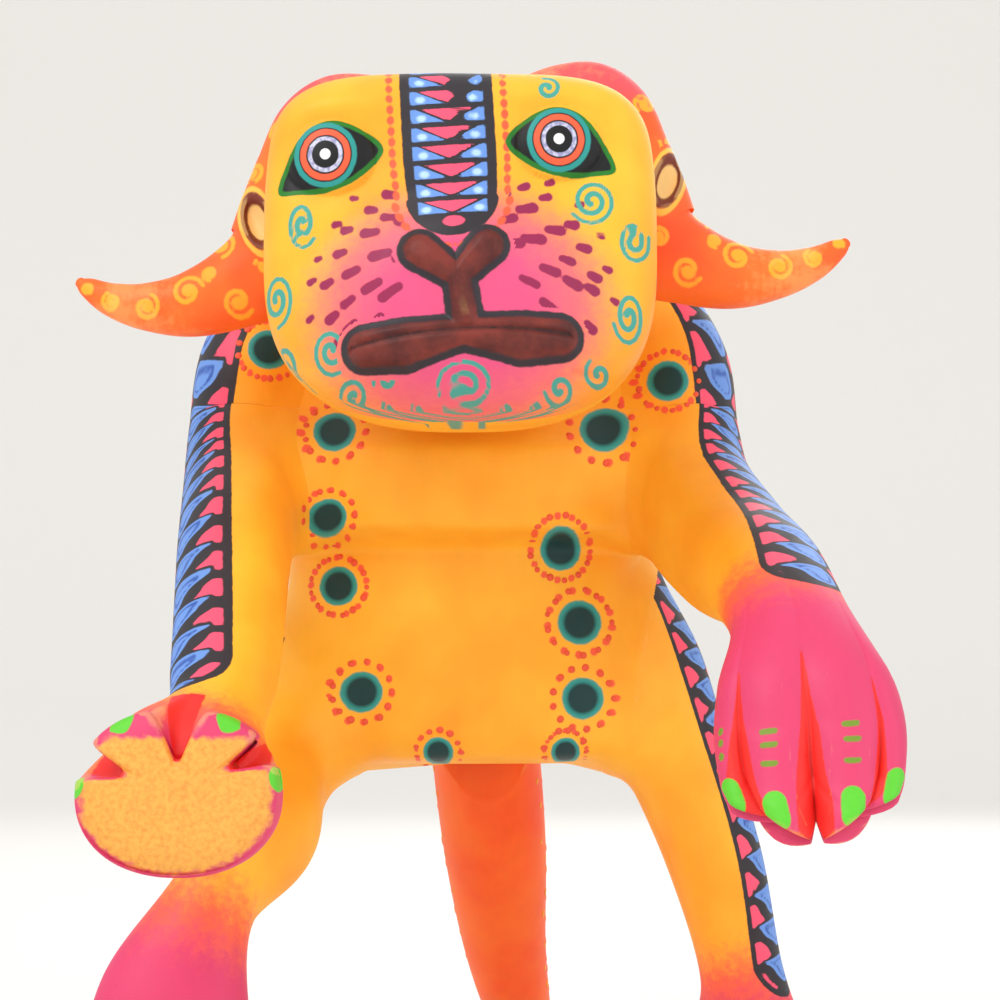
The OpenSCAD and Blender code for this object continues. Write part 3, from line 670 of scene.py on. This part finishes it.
def head_material():
    def snout_brown(t):
        return ramp(t, noise(t, 160, 4, 0.6).outputs["Fac"], [(0.35, srgb(76, 26, 24)), (0.65, srgb(128, 48, 38))])
    def iris_lilac(t):
        return ramp(t, noise(t, 1500, 2).outputs["Fac"], [(0.4, srgb(150, 150, 190)), (0.6, LILAC)])
    ground = skin_ground(chain(fade("muzzle", srgb(250, 120, 110), 0.0, 0.45), fade("muzzle", srgb(232, 84, 132), 0.22, 0.80)))
    return painted("Head paint", ground, [
        ("dab", MAGENTA, 0.15, 0.3), ("teal", TEAL, 0.12, 0.12), ("dash", CORAL, 0.15, 0.3),
        ("stripe", CHARCOAL, 0.12, 0.3), ("stripe_blue", BLUE, 0.12, 0.25), ("stripe_dot", SKY, 0.25, 0.25),
        ("stripe_tri", SCALE_RED, 0.10, 0.25),
        ("snout_rim", CHARCOAL, 0.15, 0.35), ("snout", snout_brown, 0.25, 0.4), ("lip", srgb(45, 20, 22), 0.25, 0.3),
        ("eye", DARK_GREEN, 0.12, 0.2), ("eye_in", BLACK, 0.12, 0.2), ("iris_teal", LIGHT_TEAL, 0.12, 0.2),
        ("iris_line", BLACK, 0.08, 0.15), ("iris_red", CORAL, 0.12, 0.2), ("iris_black", BLACK, 0.10, 0.15), ("iris_white", iris_lilac, 0.10, 0.2),
        ("pupil", BLACK, 0.08, 0.15), ("glint", WHITE, 0.08, 0.1)], 0.10, 2.4)


skin = carve_head()
head = skin.piece("painted_head", paint_head(skin), "figure", head_material())
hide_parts("head")


# ---------------------------------------------------------------- torso
def carve_torso():
    rows = [[60, 6, 0, 18, 9], [60.4, 6, 0, 23.5, 14], [62, 5, 0, 28.5, 17.5], [68, 4, 0, 31, 19.5], [82, 4, 0, 32, 20],
            [94, 4, 0, 31.6, 20], [97.4, 3.4, 0, 31.5, 20.6], [99.6, -0.4, 0, 31.8, 24.4], [102, -1.3, 0, 32.2, 25.3],
            [108, -1.5, 0, 33.2, 25.6], [115, -1.5, 4, 34, 25.6], [126.5, -2.5, 24, 32, 22.4], [135.6, -8.5, 50, 27.2, 17.3],
            [139.5, -22, 80, 16, 16], [139.5, -30, 90, 15, 15]]
    curve = spline(rows, 16)
    mid = np.stack([0 * curve[:, 0], curve[:, 1], curve[:, 0]], 1)
    full = np.concatenate([mid, curve[:, 2:]], 1)
    curve, _ = even(full, 0.55)
    m, around = len(curve), 330
    ang = np.arange(around) * 2 * math.pi / around
    c, s = power(np.cos(ang), 2.6)[None], power(np.sin(ang), 2.6)[None]
    tilt = np.radians(curve[:, 3])[:, None]
    x = curve[:, 4:5] * c
    y = curve[:, 1:2] + curve[:, 5:6] * s * np.cos(tilt)
    z = curve[:, 2:3] + curve[:, 5:6] * s * np.sin(tilt)
    y = np.where(z < 81.5, np.minimum(y, 22.0), y)
    rings = np.stack([x, y, z], -1)
    return Skin(rings, rings[0].mean(0), rings[-1].mean(0))


# eyespots: x, z, radius, and -1 on the front or 1 on the back
SPOTS = [(-33.7, 131, 3.5, -1), (34.7, 125.4, 3.5, -1), (-22, 116.5, 3.6, -1), (23.4, 116.8, 3.9, -1), (-22.8, 102, 3.0, -1),
         (-21.9, 90.7, 3.4, -1), (16.4, 96.8, 3.5, -1), (19.7, 84.4, 3.8, -1), (-17.6, 72.5, 3.5, -1), (20.2, 71.4, 3.6, -1),
         (-4.6, 62.2, 2.6, -1), (17.3, 62.2, 2.5, -1),
         (-22, 120, 3.6, 1), (22, 112, 3.8, 1), (-20, 96, 3.6, 1), (21, 88, 3.6, 1)]


def paint_torso(skin):
    x, y, z = skin.co.T
    f = eyespots(x, z + np.where(y < 4, 0, 200), [(a, b + (0 if face < 0 else 200), r) for a, b, r, face in SPOTS])
    f["spot_edge"] = f["spot"] - 3.4
    # a band of scales down the spine
    unroll = z + np.where(y < -8, (-8 - y), 0)
    spine = scales(x, unroll, 5.4)
    hide = np.where(((y > 6) | (z > 133)) & (np.abs(x) < 12), 0, FAR)
    for k, v in spine.items():
        f[k] = np.maximum(v, hide)
    return f


def torso_material():
    return painted("Torso paint", skin_ground(), spot_layers() + BAND)


torso_skin = carve_torso()


# ---------------------------------------------------------------- limbs
def limb_paint(skin, centre_deg, half, start, end, side):
    """A band of scales along one side of a limb, round at its far end. side is -1 on the right limbs, 1 on the left."""
    f = skin.f
    turn = (f["ang"] - centre_deg + 180) % 360 - 180
    across = side * np.radians(turn) * f["radius"]
    limit = np.maximum(start - f["along"], np.hypot(across, np.maximum(f["along"] - end + half, 0)) - half)
    return scales(across, f["along"], half, limit=limit)


def capsule(co, a, b, r):
    """Distance in space to a stroke from a to b."""
    ab = b - a
    h = np.clip((co - a) @ ab / max(ab @ ab, 1e-9), 0, 1)
    return np.linalg.norm(co - a - h[:, None] * ab, axis=1) - r


def finger_paint(skin, lengths=(15.5, 16.5, 13), widths=(3.0, 2.2, 1.3)):
    """Grooves, claws and ticks on the back of a paw whose fingers point along it."""
    f, co = skin.f, skin.co
    m, n = skin.shape
    grid = co[:-2].reshape(m, n, 3)
    last = m - 8                                   # the last full section
    tip = f["along"][:-2].reshape(m, n)[last, 0]
    angle = np.radians(f["ang"])
    local = np.hypot(f["wide"] * np.sin(angle), f["deep"] * np.cos(angle))
    groove = np.full(angle.shape, FAR)
    for deg, length, wide in zip((135, 90, 45), lengths, widths):
        half = 0.12 + (wide - 0.12) * np.clip((f["along"] - tip + length) / length, 0, 1) ** 1.2
        d = np.abs(angle - math.radians(deg)) * local - half
        groove = np.minimum(groove, np.maximum(d, tip - length - f["along"]))
    claw, tick = np.full(angle.shape, FAR), np.full(angle.shape, FAR)
    for deg in (157.5, 112.5, 67.5, 22.5):
        j = int(round(deg / 360 * n))
        end, behind = grid[last, j], grid[last - 5, j]
        ahead = (end - behind) / np.linalg.norm(end - behind)
        claw = np.minimum(claw, capsule(co, end - 1.7 * ahead, end + 0.9 * ahead, 1.75))
        for k in range(3):
            mid = grid[last - 11 - 4 * k, j]
            cross = grid[last - 11 - 4 * k, j + 2] - grid[last - 11 - 4 * k, j - 2]
            cross = cross / np.linalg.norm(cross)
            if 50 < deg < 130:
                tick = np.minimum(tick, capsule(co, mid - 0.95 * cross, mid + 0.95 * cross, 0.45))
            elif deg > 130:
                tick = np.minimum(tick, capsule(co, mid, mid, 0.6))
    return {"groove": np.where(np.sin(angle) > -0.05, groove, FAR), "claw": claw, "tick": tick, "paw": f["along"] - tip}


def limb_material(name, paw_from, extra_layers=()):
    ground = skin_ground(chain(fade("paw", srgb(250, 104, 66), paw_from - 9, paw_from + 1, 0.5),
                               fade("paw", srgb(220, 64, 110), paw_from - 2, paw_from + 9, 0.5)))
    return painted(name, ground, list(extra_layers) + BAND + [("groove", RED, 0.12, 0.25), ("tick", OLIVE, 0.12, 0.2),
                                                              ("claw", GREEN, 0.15, 0.25)])


def sole_paint(t):
    return ramp(t, noise(t, 1400, 4, 0.7).outputs["Fac"], [(0.3, srgb(226, 146, 62)), (0.6, srgb(248, 176, 78))])


SHOULDER = (28.0, -8.0, 117.4)
HIP = (24.0, 4.0, 74.0)


def foreleg_top(side, out):
    """Sections of a shoulder, from its rounded top down. out: how far its middle stands off the flat."""
    sx, sy, sz = SHOULDER
    return [[side * (sx + 4), sy + 6, sz + 27.6, 3, 3.6, 0], [side * (sx + 6), sy + 3, sz + 22.8, 6.6, 8.4, 0],
            [side * (sx + out - 0.7), sy, sz + 12, 9.5, 12, 0], [side * (sx + out), sy, sz, 10.4, 13.2, 0]]


def shoulder_spot(skin, x0, z0):
    x, y, z = skin.co.T
    f = eyespots(np.where(y < -8, x, FAR), z, [(x0, z0, 3.5)])
    f["spot_edge"] = f["spot"] - 3.4
    return f


def carve_right_foreleg():
    """Hangs forward, its sole turned to the front."""
    sx, sy, sz = -SHOULDER[0], SHOULDER[1], SHOULDER[2]
    rows = foreleg_top(-1, 10) + [
        [sx - 10, sy - 8, sz - 11.4, 10.3, 12.6, 0], [sx - 9.5, -33.9, 94.7, 9.3, 10.1, 0], [sx - 8.5, -53.9, 76, 8.4, 8, 0],
        [sx - 9, -62.8, 68, 7.7, 7.2, 0], [sx - 11, -70.5, 62, 12.3, 9.8, 0.2], [sx - 12, -77, 58, 14.8, 12, 0.9],
        [sx - 12, -81.2, 58, 14.4, 11.8, 1], [sx - 12, -82.5, 58, 13.4, 11, 1], [sx - 12, -82.9, 58, 10.6, 8.6, 1]]
    return sweep(rows, (1, 0, 0), 2.2, 260, 0.5, toes_round, 0.5, 0.02)


def paint_right_foreleg(skin):
    f = limb_paint(skin, 140, 8.6, 2, 106, -1)
    f.update(shoulder_spot(skin, -33.7, 131))
    x, y, z = skin.co.T
    cx, cz = -SHOULDER[0] - 12, 58.0
    ang = (np.degrees(np.arctan2((z - cz) / 12, (x - cx) / 14.8)) + 360) % 360
    rad = np.hypot((x - cx) / 14.8, (z - cz) / 12)
    cut = sum(depth * np.exp(-((ang - g) / w) ** 4) for g, depth, w in NOTCHES)
    f["paw"] = skin.f["along"] - skin.f["along"].max()
    face = y < -80.6
    lower = z < cz - 3
    f["sole"] = np.where(face, np.maximum((rad - np.where(lower, 0.965, 0.92) * (1 - cut)) * 12, z - cz - 7.6), FAR)
    g = np.full(x.shape, FAR)
    for deg, depth, w in NOTCHES:
        off = np.abs((ang - deg + 180) % 360 - 180)
        g = np.minimum(g, np.maximum(np.radians(off - w * 0.8) * 12 * np.maximum(rad, 0.4), (1 - depth - 0.06 - rad) * 12))
    f["groove"] = np.where((y < -70) & ~(face & (rad < 1 - cut - 0.05)), g, FAR)
    claw = np.full(x.shape, FAR)
    for px, pz, tall in ((-7.9, 9.6, 2.3), (7.3, 9.4, 2.4), (-14.2, 0.6, 1.7), (14.4, 1.6, 1.9)):
        lean = 0.25 * np.sign(px)
        p, q = x - cx - px + lean * (z - cz - pz), z - cz - pz
        claw = np.minimum(claw, np.sqrt((p * 1.4) ** 2 + q ** 2 + ((y + 81.0) * 0.55) ** 2) - tall)
    f["claw"] = claw
    f["tick"] = np.full(x.shape, FAR)
    return f


def carve_left_foreleg():
    """Held out; the hand hangs with its back to the front."""
    sx, sy, sz = SHOULDER
    rows = foreleg_top(1, 9.5) + [
        [sx + 11, sy - 8, sz - 12, 10.8, 12.6, 0], [sx + 16, -30.2, 95.8, 10.5, 11, 0], [sx + 20, -46.5, 90, 9.6, 8.8, 0],
        [sx + 22, -62.8, 82, 9.3, 6.6, 0.05], [sx + 22.5, -71.6, 74, 12.6, 6.4, 0.25], [sx + 23, -74.6, 67, 13.9, 6.0, 0.5],
        [sx + 23, -76.6, 61.5, 13.4, 5.0, 0.85], [sx + 23, -77.6, 59.5, 12.6, 3.8, 1]]
    return sweep(rows, (1, -0.15, 0), 2.2, 280, 0.5, fingers_ahead(6.9), 0.5, 0.8)


def paint_left_foreleg(skin):
    centre = np.interp(skin.f["along"], [30, 50, 90], [34, 52, 60])
    f = limb_paint(skin, centre, 7.0, 2, 97, 1)
    f.update(shoulder_spot(skin, 34.7, 125.4))
    f.update(finger_paint(skin))
    return f


def ground_paw(x, y, heel):
    return [[x, y, 12, heel, 6.5, 0], [x, y - 6, 6.2, 13.4, 5.6, 0], [x, y - 15, 4.9, 14.3, 4.9, 0.3],
            [x, y - 20, 4.0, 14.2, 4.2, 0.75], [x, y - 22, 3.4, 13.2, 3.1, 1]]


def carve_right_hind_leg():
    """Strides forward."""
    hx, hy, hz = -HIP[0], HIP[1], HIP[2]
    rows = [[hx + 6, hy + 2, hz + 9, 7, 8, 0], [hx - 2, hy, hz, 10.4, 12.6, 0], [hx - 8.5, hy - 14, 58.2, 9.1, 11.5, 0],
            [hx - 9, hy - 29, 49.2, 8.4, 9.6, 0], [hx - 16, hy - 41, 39, 7.2, 7, 0], [hx - 21, hy - 47, 25.2, 11.8, 6.7, 0]] \
        + ground_paw(hx - 22, hy - 50, 14)
    return sweep(rows, (1, 0, 0), 2.3, 260, 0.5, fingers_ahead(8.0), 0.5, 0.8)


def carve_left_hind_leg():
    """Straight down and out."""
    hx, hy, hz = HIP
    rows = [[hx + 1, hy + 3, hz + 20.4, 4.8, 5.4, 0], [hx + 4, hy + 2, hz + 10.8, 10.2, 10.2, 0], [hx + 7.5, hy + 1, hz, 11.8, 12.6, 0],
            [hx + 14, hy + 1, 60, 9.6, 11.6, 0], [hx + 20.5, hy + 1, 42, 8.4, 9.8, 0], [hx + 25, hy + 2, 22.8, 7.4, 7.4, 0]] \
        + ground_paw(hx + 26, hy + 2, 10.6)
    return sweep(rows, (1, 0, 0), 2.3, 260, 0.5, fingers_ahead(8.0), 0.5, 0.8)


def soften(skins, pairs, k=6.5):
    """Lets blocks that meet swell into each other, so that the figure reads as one carving."""
    for _ in range(2):
        trees = {name: BVHTree.FromPolygons(s.co.tolist(), s.faces()) for name, s in skins.items()}
        push = {name: np.zeros(len(s.co)) for name, s in skins.items()}
        for a, b in pairs + [(b, a) for a, b in pairs]:
            co, other = skins[a].co, skins[b].co
            close = ((co > other.min(0) - k) & (co < other.max(0) + k)).all(1)
            for i in np.nonzero(close)[0].tolist():
                place, out, _, d = trees[b].find_nearest(Vector(co[i]), k)
                if place is None:
                    continue
                if (Vector(co[i]) - place).dot(out) < 0:
                    d = 0
                push[a][i] = max(push[a][i], (k - d) ** 2 / (4 * k))
        for name, s in skins.items():
            s.co = s.co + s.normals() * push[name][:, None]


skins = {"torso": torso_skin, "right_foreleg": carve_right_foreleg(), "left_foreleg": carve_left_foreleg(),
         "right_hind_leg": carve_right_hind_leg(), "left_hind_leg": carve_left_hind_leg()}
paints = {"torso": paint_torso(torso_skin), "right_foreleg": paint_right_foreleg(skins["right_foreleg"]),
          "left_foreleg": paint_left_foreleg(skins["left_foreleg"])}
for name, centre, half, end in (("right_hind_leg", 138, 6.5, 69), ("left_hind_leg", 30, 6.5, 80)):
    paints[name] = limb_paint(skins[name], centre, half, 2, end, -1 if "right" in name else 1)
    paints[name].update(finger_paint(skins[name]))
soften(skins, [("torso", name) for name in skins if name != "torso"])
materials = {"torso": torso_material(),
             "right_foreleg": limb_material("Right foreleg paint", -15, spot_layers()
                                            + [("sole", sole_paint, 0.5, 1.6)]),
             "left_foreleg": limb_material("Left foreleg paint", -33, spot_layers()),
             "right_hind_leg": limb_material("Right hind leg paint", -50),
             "left_hind_leg": limb_material("Left hind leg paint", -36)}
for name, skin in skins.items():
    skin.co[:, 2] = np.maximum(skin.co[:, 2], 0.0)
    piece = skin.piece("painted_" + name, paints[name], "figure", materials[name])
    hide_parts(name)


# ---------------------------------------------------------------- ears and tail
def orange_ground(t):
    broad = noise(t, 60, 3, 0.55).outputs["Fac"]
    c = ramp(t, broad, [(0.30, srgb(250, 84, 28)), (0.70, srgb(255, 118, 36))])
    return fade("blush", srgb(236, 84, 92), 0.2, 1.0, 0.3)(t, c)


EAR_TILT = math.tan(math.radians(3))
CROWN = HEAD_Z + 26.35


def ear(side, name, node_name, body):
    ex, ey = 24.0, -40.0
    rows = [[-13, 30.2, 3.0], [-8, 30.4, 4.2], [-3, 29.2, 5.5], [0.3, 25.3, 6.8], [2, 18.5, 8.0], [3.9, 11.6, 8.7], [6.8, 4.2, 8.6],
            [13.2, 0.3, 6.7], [20.5, -2, 5.3], [27.5, -2, 3.9], [33, -0.6, 2.8], [37, 1.6, 1.7], [38.3, 2.5, 0.9]]
    path = [[side * (ex + r[0]), ey, HEAD_Z + r[1] + side * (ex + r[0]) * EAR_TILT, min(7.4, 0.95 * r[2]), r[2], 0] for r in rows]
    skin = sweep(path, (0, 1, 0), 2.2, 200, 0.45, None, 0.5, 0.9)
    x, y, z = skin.co.T
    # the hollow
    hx, hz = side * 33.0, HEAD_Z + 11.5 + side * 3.4
    lean = math.radians(-18 * side)
    p = (x - hx) * math.cos(lean) + (z - hz) * math.sin(lean)
    q = -(x - hx) * math.sin(lean) + (z - hz) * math.cos(lean)
    hollow = np.hypot(p / 1.9, q / 3.9)
    front = y < ey
    y = np.where(front, y + 2.2 * np.clip(1 - hollow ** 2, 0, 1) ** 0.7, y)
    y = np.where(front, y - 0.5 * np.exp(-((hollow - 1.25) / 0.25) ** 2), y)
    # the root lies on the flat of the head and on its crown
    inside = (side * x < 24.35) & (z < CROWN)
    on_crown = inside & (CROWN - z < 24.35 - side * x)
    z = np.where(on_crown, CROWN, z)
    x = np.where(inside & ~on_crown, side * 24.35, x)
    skin.co = np.stack([x, y, z], 1)
    f = {}
    ring = (hollow - 1) * 2.8
    f["hollow"] = np.where(front, ring, FAR)
    f["hollow_rim"] = np.where(front, np.abs(ring - 0.2) - 0.75, FAR)
    f["hollow_gold"] = np.where(front, np.abs(ring - 1.35) - 0.45, FAR)
    places = [(34.0, 158.5, 2.2), (29.5, 165, 1.9), (39.0, 147.0, 2.4), (36.0, 137.2, 2.5), (44.2, 139.3, 2.7), (51.0, 137.4, 2.2),
              (56.8, 138.8, 1.6), (31.5, 142.6, 1.7), (27.4, 159.5, 1.7), (40.6, 142.0, 1.2), (61, 141.2, 0.9)]
    places = [(a, b + side * (a * EAR_TILT + 0.6), r) for a, b, r in places]
    s = np.full(x.shape, FAR)
    for k, (a, b, r) in enumerate(places):
        s = np.minimum(s, spirals(x, z, [(side * a, b, r, 1.5, 50 * k, 1 if k % 2 else -1)], 0.5))
        s = np.minimum(s, np.hypot(x - side * a, z - b) - 0.32 * r)
    f["curl"] = np.where(hollow > 1.8, s, FAR)
    d = np.full(x.shape, FAR)
    for k in range(9):
        b = 144.5 + side * 3.4 + 1.6 * k
        a = 29.6 - 0.03 * (7 - 1.6 * k) ** 2
        d = np.minimum(d, to_segment(x, z, (side * (a - 1.6), b + 0.3), (side * (a + 0.4), b), 0.34, 0.2))
    f["dash"] = np.where(front & (hollow > 1.5), d, FAR)
    f["blush"] = smooth(160, 170, z - side * 1.5)
    mat = bpy.data.materials.get("Ear paint") or painted("Ear paint", orange_ground, [
        ("curl", srgb(255, 172, 40), 0.2, 0.4), ("dash", RED, 0.15, 0.3), ("hollow_gold", srgb(255, 190, 70), 0.2, 0.3),
        ("hollow", srgb(250, 205, 130), 0.3, 0.3), ("hollow_rim", srgb(120, 48, 30), 0.2, 0.3)])
    o = skin.piece(name, f, body, mat)
    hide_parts(node_name)


ear(-1, "painted_right_ear", "right_ear", "ear_right")
ear(1, "painted_left_ear", "left_ear", "ear_left")

tx, ty, tz, run = 2.0, 22.3, 66.0, 62.0
rows = [[tx, ty - 6, tz + 3, 8, 8, 0], [tx + 1, ty + 5, tz - 2, 10, 10, 0], [tx + 3, ty + 0.24 * run, 43.6, 9.8, 9.5, 0],
        [tx + 5, ty + 0.42 * run, 23.8, 8, 7.8, 0], [tx + 8, ty + 0.60 * run, 9.4, 6.2, 6, 0],
        [tx + 11, ty + 0.80 * run, 4.3, 4.4, 4.2, 0], [tx + 13, ty + run - 0.9, 2.0, 1.8, 1.8, 0]]
skin = sweep(rows, (1, 0, 0), 2.1, 180, 0.6, None, 0.5, 0.5)
skin.co[:, 1] = np.maximum(skin.co[:, 1], 22.35)
skin.co[:, 2] = np.maximum(skin.co[:, 2], 0.0)
tail_skin = skin
f = {"blush": smooth(14, 4, skin.co[:, 2])}
tail = skin.piece("painted_tail", f, "tail", painted("Tail paint", orange_ground, []))
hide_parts("tail")


# ---------------------------------------------------------------- raised dots of thick paint
def make_dot_tree():
    """Sets a low dome of paint on each point, turned to the attribute out and scaled by the attribute size."""
    g = bpy.data.node_groups.new("Raised paint dots", "GeometryNodeTree")
    g.interface.new_socket("Points", in_out="INPUT", socket_type="NodeSocketGeometry")
    for label, kind in (("Dot radius", "NodeSocketFloat"), ("Dot height", "NodeSocketFloat"), ("Paint", "NodeSocketMaterial")):
        g.interface.new_socket(label, in_out="INPUT", socket_type=kind)
    g.interface.new_socket("Dots", in_out="OUTPUT", socket_type="NodeSocketGeometry")
    i, o = g.nodes.new("NodeGroupInput"), g.nodes.new("NodeGroupOutput")
    ball = node(g, "GeometryNodeMeshUVSphere")
    ball.inputs["Segments"].default_value, ball.inputs["Rings"].default_value = 8, 5
    ball.inputs["Radius"].default_value = 1.0
    squash = node(g, "ShaderNodeCombineXYZ")
    g.links.new(i.outputs["Dot radius"], squash.inputs[0])
    g.links.new(i.outputs["Dot radius"], squash.inputs[1])
    g.links.new(i.outputs["Dot height"], squash.inputs[2])
    low = node(g, "GeometryNodeTransform")
    g.links.new(ball.outputs["Mesh"], low.inputs["Geometry"])
    g.links.new(squash.outputs[0], low.inputs["Scale"])
    out = node(g, "GeometryNodeInputNamedAttribute", data_type="FLOAT_VECTOR")
    out.inputs["Name"].default_value = "out"
    size = node(g, "GeometryNodeInputNamedAttribute", data_type="FLOAT")
    size.inputs["Name"].default_value = "size"
    turn = node(g, "FunctionNodeAlignRotationToVector", axis="Z")
    g.links.new(out.outputs["Attribute"], turn.inputs["Vector"])
    put_on = node(g, "GeometryNodeInstanceOnPoints")
    g.links.new(i.outputs["Points"], put_on.inputs["Points"])
    g.links.new(low.outputs["Geometry"], put_on.inputs["Instance"])
    g.links.new(turn.outputs["Rotation"], put_on.inputs["Rotation"])
    g.links.new(size.outputs["Attribute"], put_on.inputs["Scale"])
    real = node(g, "GeometryNodeRealizeInstances")
    g.links.new(put_on.outputs["Instances"], real.inputs["Geometry"])
    soft = node(g, "GeometryNodeSetShadeSmooth")
    g.links.new(real.outputs["Geometry"], soft.inputs["Geometry"])
    paint = node(g, "GeometryNodeSetMaterial")
    g.links.new(soft.outputs["Geometry"], paint.inputs["Geometry"])
    g.links.new(i.outputs["Paint"], paint.inputs["Material"])
    g.links.new(paint.outputs["Geometry"], o.inputs["Dots"])
    return g


DOT_TREE = make_dot_tree()


def raised_dots(name, body, spots, radius, height, paint):
    """spots: (place, normal, size) rows in mm. Leaves one plain mesh."""
    mesh = bpy.data.meshes.new(name + "_points")
    mesh.from_pydata([tuple(c * MM for c in place) for place, _, _ in spots], [], [])
    mesh.attributes.new("out", "FLOAT_VECTOR", "POINT").data.foreach_set("vector", [c for _, out, _ in spots for c in out])
    mesh.attributes.new("size", "FLOAT", "POINT").data.foreach_set("value", [size for _, _, size in spots])
    source = bpy.data.objects.new(name + "_points", mesh)
    bpy.context.scene.collection.objects.link(source)
    mod = source.modifiers.new("dots", "NODES")
    mod.node_group = DOT_TREE
    values = {"Dot radius": radius * MM, "Dot height": height * MM, "Paint": paint}
    for item in DOT_TREE.interface.items_tree:
        if item.in_out == "INPUT" and item.name in values:
            mod[item.identifier] = values[item.name]
    done = bpy.data.meshes.new_from_object(source.evaluated_get(bpy.context.evaluated_depsgraph_get()))
    bpy.data.objects.remove(source)
    o = bpy.data.objects.new(name, done)
    bpy.context.scene.collection.objects.link(o)
    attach(o, body)
    return o


def dot_paint(name, colour):
    return painted(name, lambda t: mix(t, noise(t, 260, 3, 0.6).outputs["Fac"], colour, tuple(0.82 * c for c in colour[:3]) + (1,)), [])


def ring_places():
    """Points on the skins round every eyespot."""
    trees = [BVHTree.FromPolygons(skins[name].co.tolist(), skins[name].faces())
             for name in ("torso", "right_foreleg", "left_foreleg")]
    found = []
    for x0, z0, size, face in SPOTS:
        for k in range(13):
            a = math.radians(360 * (k + rng.uniform(-0.12, 0.12)) / 13)
            r = 1.47 * size + rng.uniform(-0.15, 0.15)
            start = Vector((x0 + r * math.cos(a), 120 * face, z0 + r * math.sin(a)))
            hits = [t.ray_cast(start, Vector((0, -face, 0))) for t in trees]
            hits = [h for h in hits if h[0] is not None and abs(h[1].y) > 0.25]
            if hits:
                place, out, _, _ = min(hits, key=lambda h: h[3])
                found.append((tuple(place), tuple(out), rng.uniform(0.8, 1.15)))
    return found


raised_dots("raised_rings_round_spots", "figure", ring_places(), 0.62, 0.16, dot_paint("Coral dots", CORAL))

m, n = tail_skin.shape
grid, up = tail_skin.co[:-2].reshape(m, n, 3), tail_skin.normals()[:-2].reshape(m, n, 3)
specks = []
for step in range(16, m - 14, 5):
    for deg in (-24, 8, 172, 204):
        j = int(round((deg + rng.uniform(-7, 7) + (9 if step % 2 else -9)) / 360 * n)) % n
        i = min(max(step + int(rng.integers(-2, 3)), 0), m - 1)
        if grid[i, j, 2] > 0.8:
            specks.append((tuple(grid[i, j]), tuple(up[i, j]), rng.uniform(0.6, 1.15)))
raised_dots("raised_specks_on_tail", "tail", specks, 0.85, 0.14, dot_paint("Gold specks", srgb(255, 160, 45)))


# ---------------------------------------------------------------- bare wood of the dowels
def wood_material():
    mat = bpy.data.materials.new("Bare wood")
    mat.use_nodes = True
    t = mat.node_tree
    bsdf = t.nodes["Principled BSDF"]
    grain = noise(t, 900, 4, 0.6, (0.15, 1.0, 1.0)).outputs["Fac"]
    t.links.new(ramp(t, grain, [(0.3, srgb(176, 132, 84)), (0.7, srgb(222, 188, 138))]), bsdf.inputs["Base Color"])
    bg = node(t, "ShaderNodeGroup", node_tree=BRUSH_GRAIN)
    t.links.new(bg.outputs["Roughness"], bsdf.inputs["Roughness"])
    bump = node(t, "ShaderNodeBump")
    bump.inputs["Strength"].default_value, bump.inputs["Distance"].default_value = 0.4, 0.0001
    t.links.new(bg.outputs["Height"], bump.inputs["Height"])
    t.links.new(bump.outputs[0], bsdf.inputs["Normal"])
    return mat


WOOD = wood_material()
for name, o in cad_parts.items():
    if "dowel" in name or "peg" in name:
        o.data.materials.clear()
        o.data.materials.append(WOOD)

# ---------------------------------------------------------------- studio
floor_mesh = bpy.data.meshes.new("studio_floor")
cove = [(-3, 0), (1.2, 0)] + [(1.2 + 0.7 * math.sin(a), 0.7 - 0.7 * math.cos(a)) for a in np.linspace(0.1, math.pi / 2, 16)] + [(1.9, 4)]
floor_mesh.from_pydata([(x, y, z) for y, z in cove for x in (-4, 4)], [],
                       [(2 * k, 2 * k + 1, 2 * k + 3, 2 * k + 2) for k in range(len(cove) - 1)])
floor_mesh.polygons.foreach_set("use_smooth", [True] * len(floor_mesh.polygons))
floor = bpy.data.objects.new("studio_floor", floor_mesh)
bpy.context.scene.collection.objects.link(floor)
pale = bpy.data.materials.new("Pale floor")
pale.use_nodes = True
pale.node_tree.nodes["Principled BSDF"].inputs["Base Color"].default_value = (0.85, 0.84, 0.82, 1)
pale.node_tree.nodes["Principled BSDF"].inputs["Roughness"].default_value = 0.8
floor_mesh.materials.append(pale)

world = bpy.data.worlds.new("Studio")
bpy.context.scene.world = world
world.use_nodes = True
world.node_tree.nodes["Background"].inputs[0].default_value = (1.0, 0.99, 0.97, 1)
world.node_tree.nodes["Background"].inputs[1].default_value = 0.95


def softbox(name, at, to, size, watts, colour=(1, 1, 1)):
    data = bpy.data.lights.new(name, "AREA")
    data.size, data.energy, data.color = size, watts, colour
    o = bpy.data.objects.new(name, data)
    o.location = at
    o.rotation_mode = "QUATERNION"
    o.rotation_quaternion = (Vector(to) - Vector(at)).to_track_quat("-Z", "Y")
    bpy.context.scene.collection.objects.link(o)


softbox("key", (-0.55, -0.75, 0.85), (0, -0.03, 0.10), 0.55, 5, (1, 0.98, 0.95))
softbox("fill", (0.75, -0.65, 0.35), (0, -0.03, 0.10), 0.7, 1.5)
softbox("rim", (0.3, 0.8, 0.7), (0, 0, 0.12), 0.6, 3)

bpy.context.scene.view_settings.view_transform = "Standard"
cam_data = bpy.data.cameras.new("camera")
cam_data.lens, cam_data.sensor_width = 85, 36
cam = bpy.data.objects.new("camera", cam_data)
cam.location = (0.006, -0.42, 0.070)
cam.rotation_euler = (math.radians(95), 0, 0)
bpy.context.scene.collection.objects.link(cam)
bpy.context.scene.camera = cam
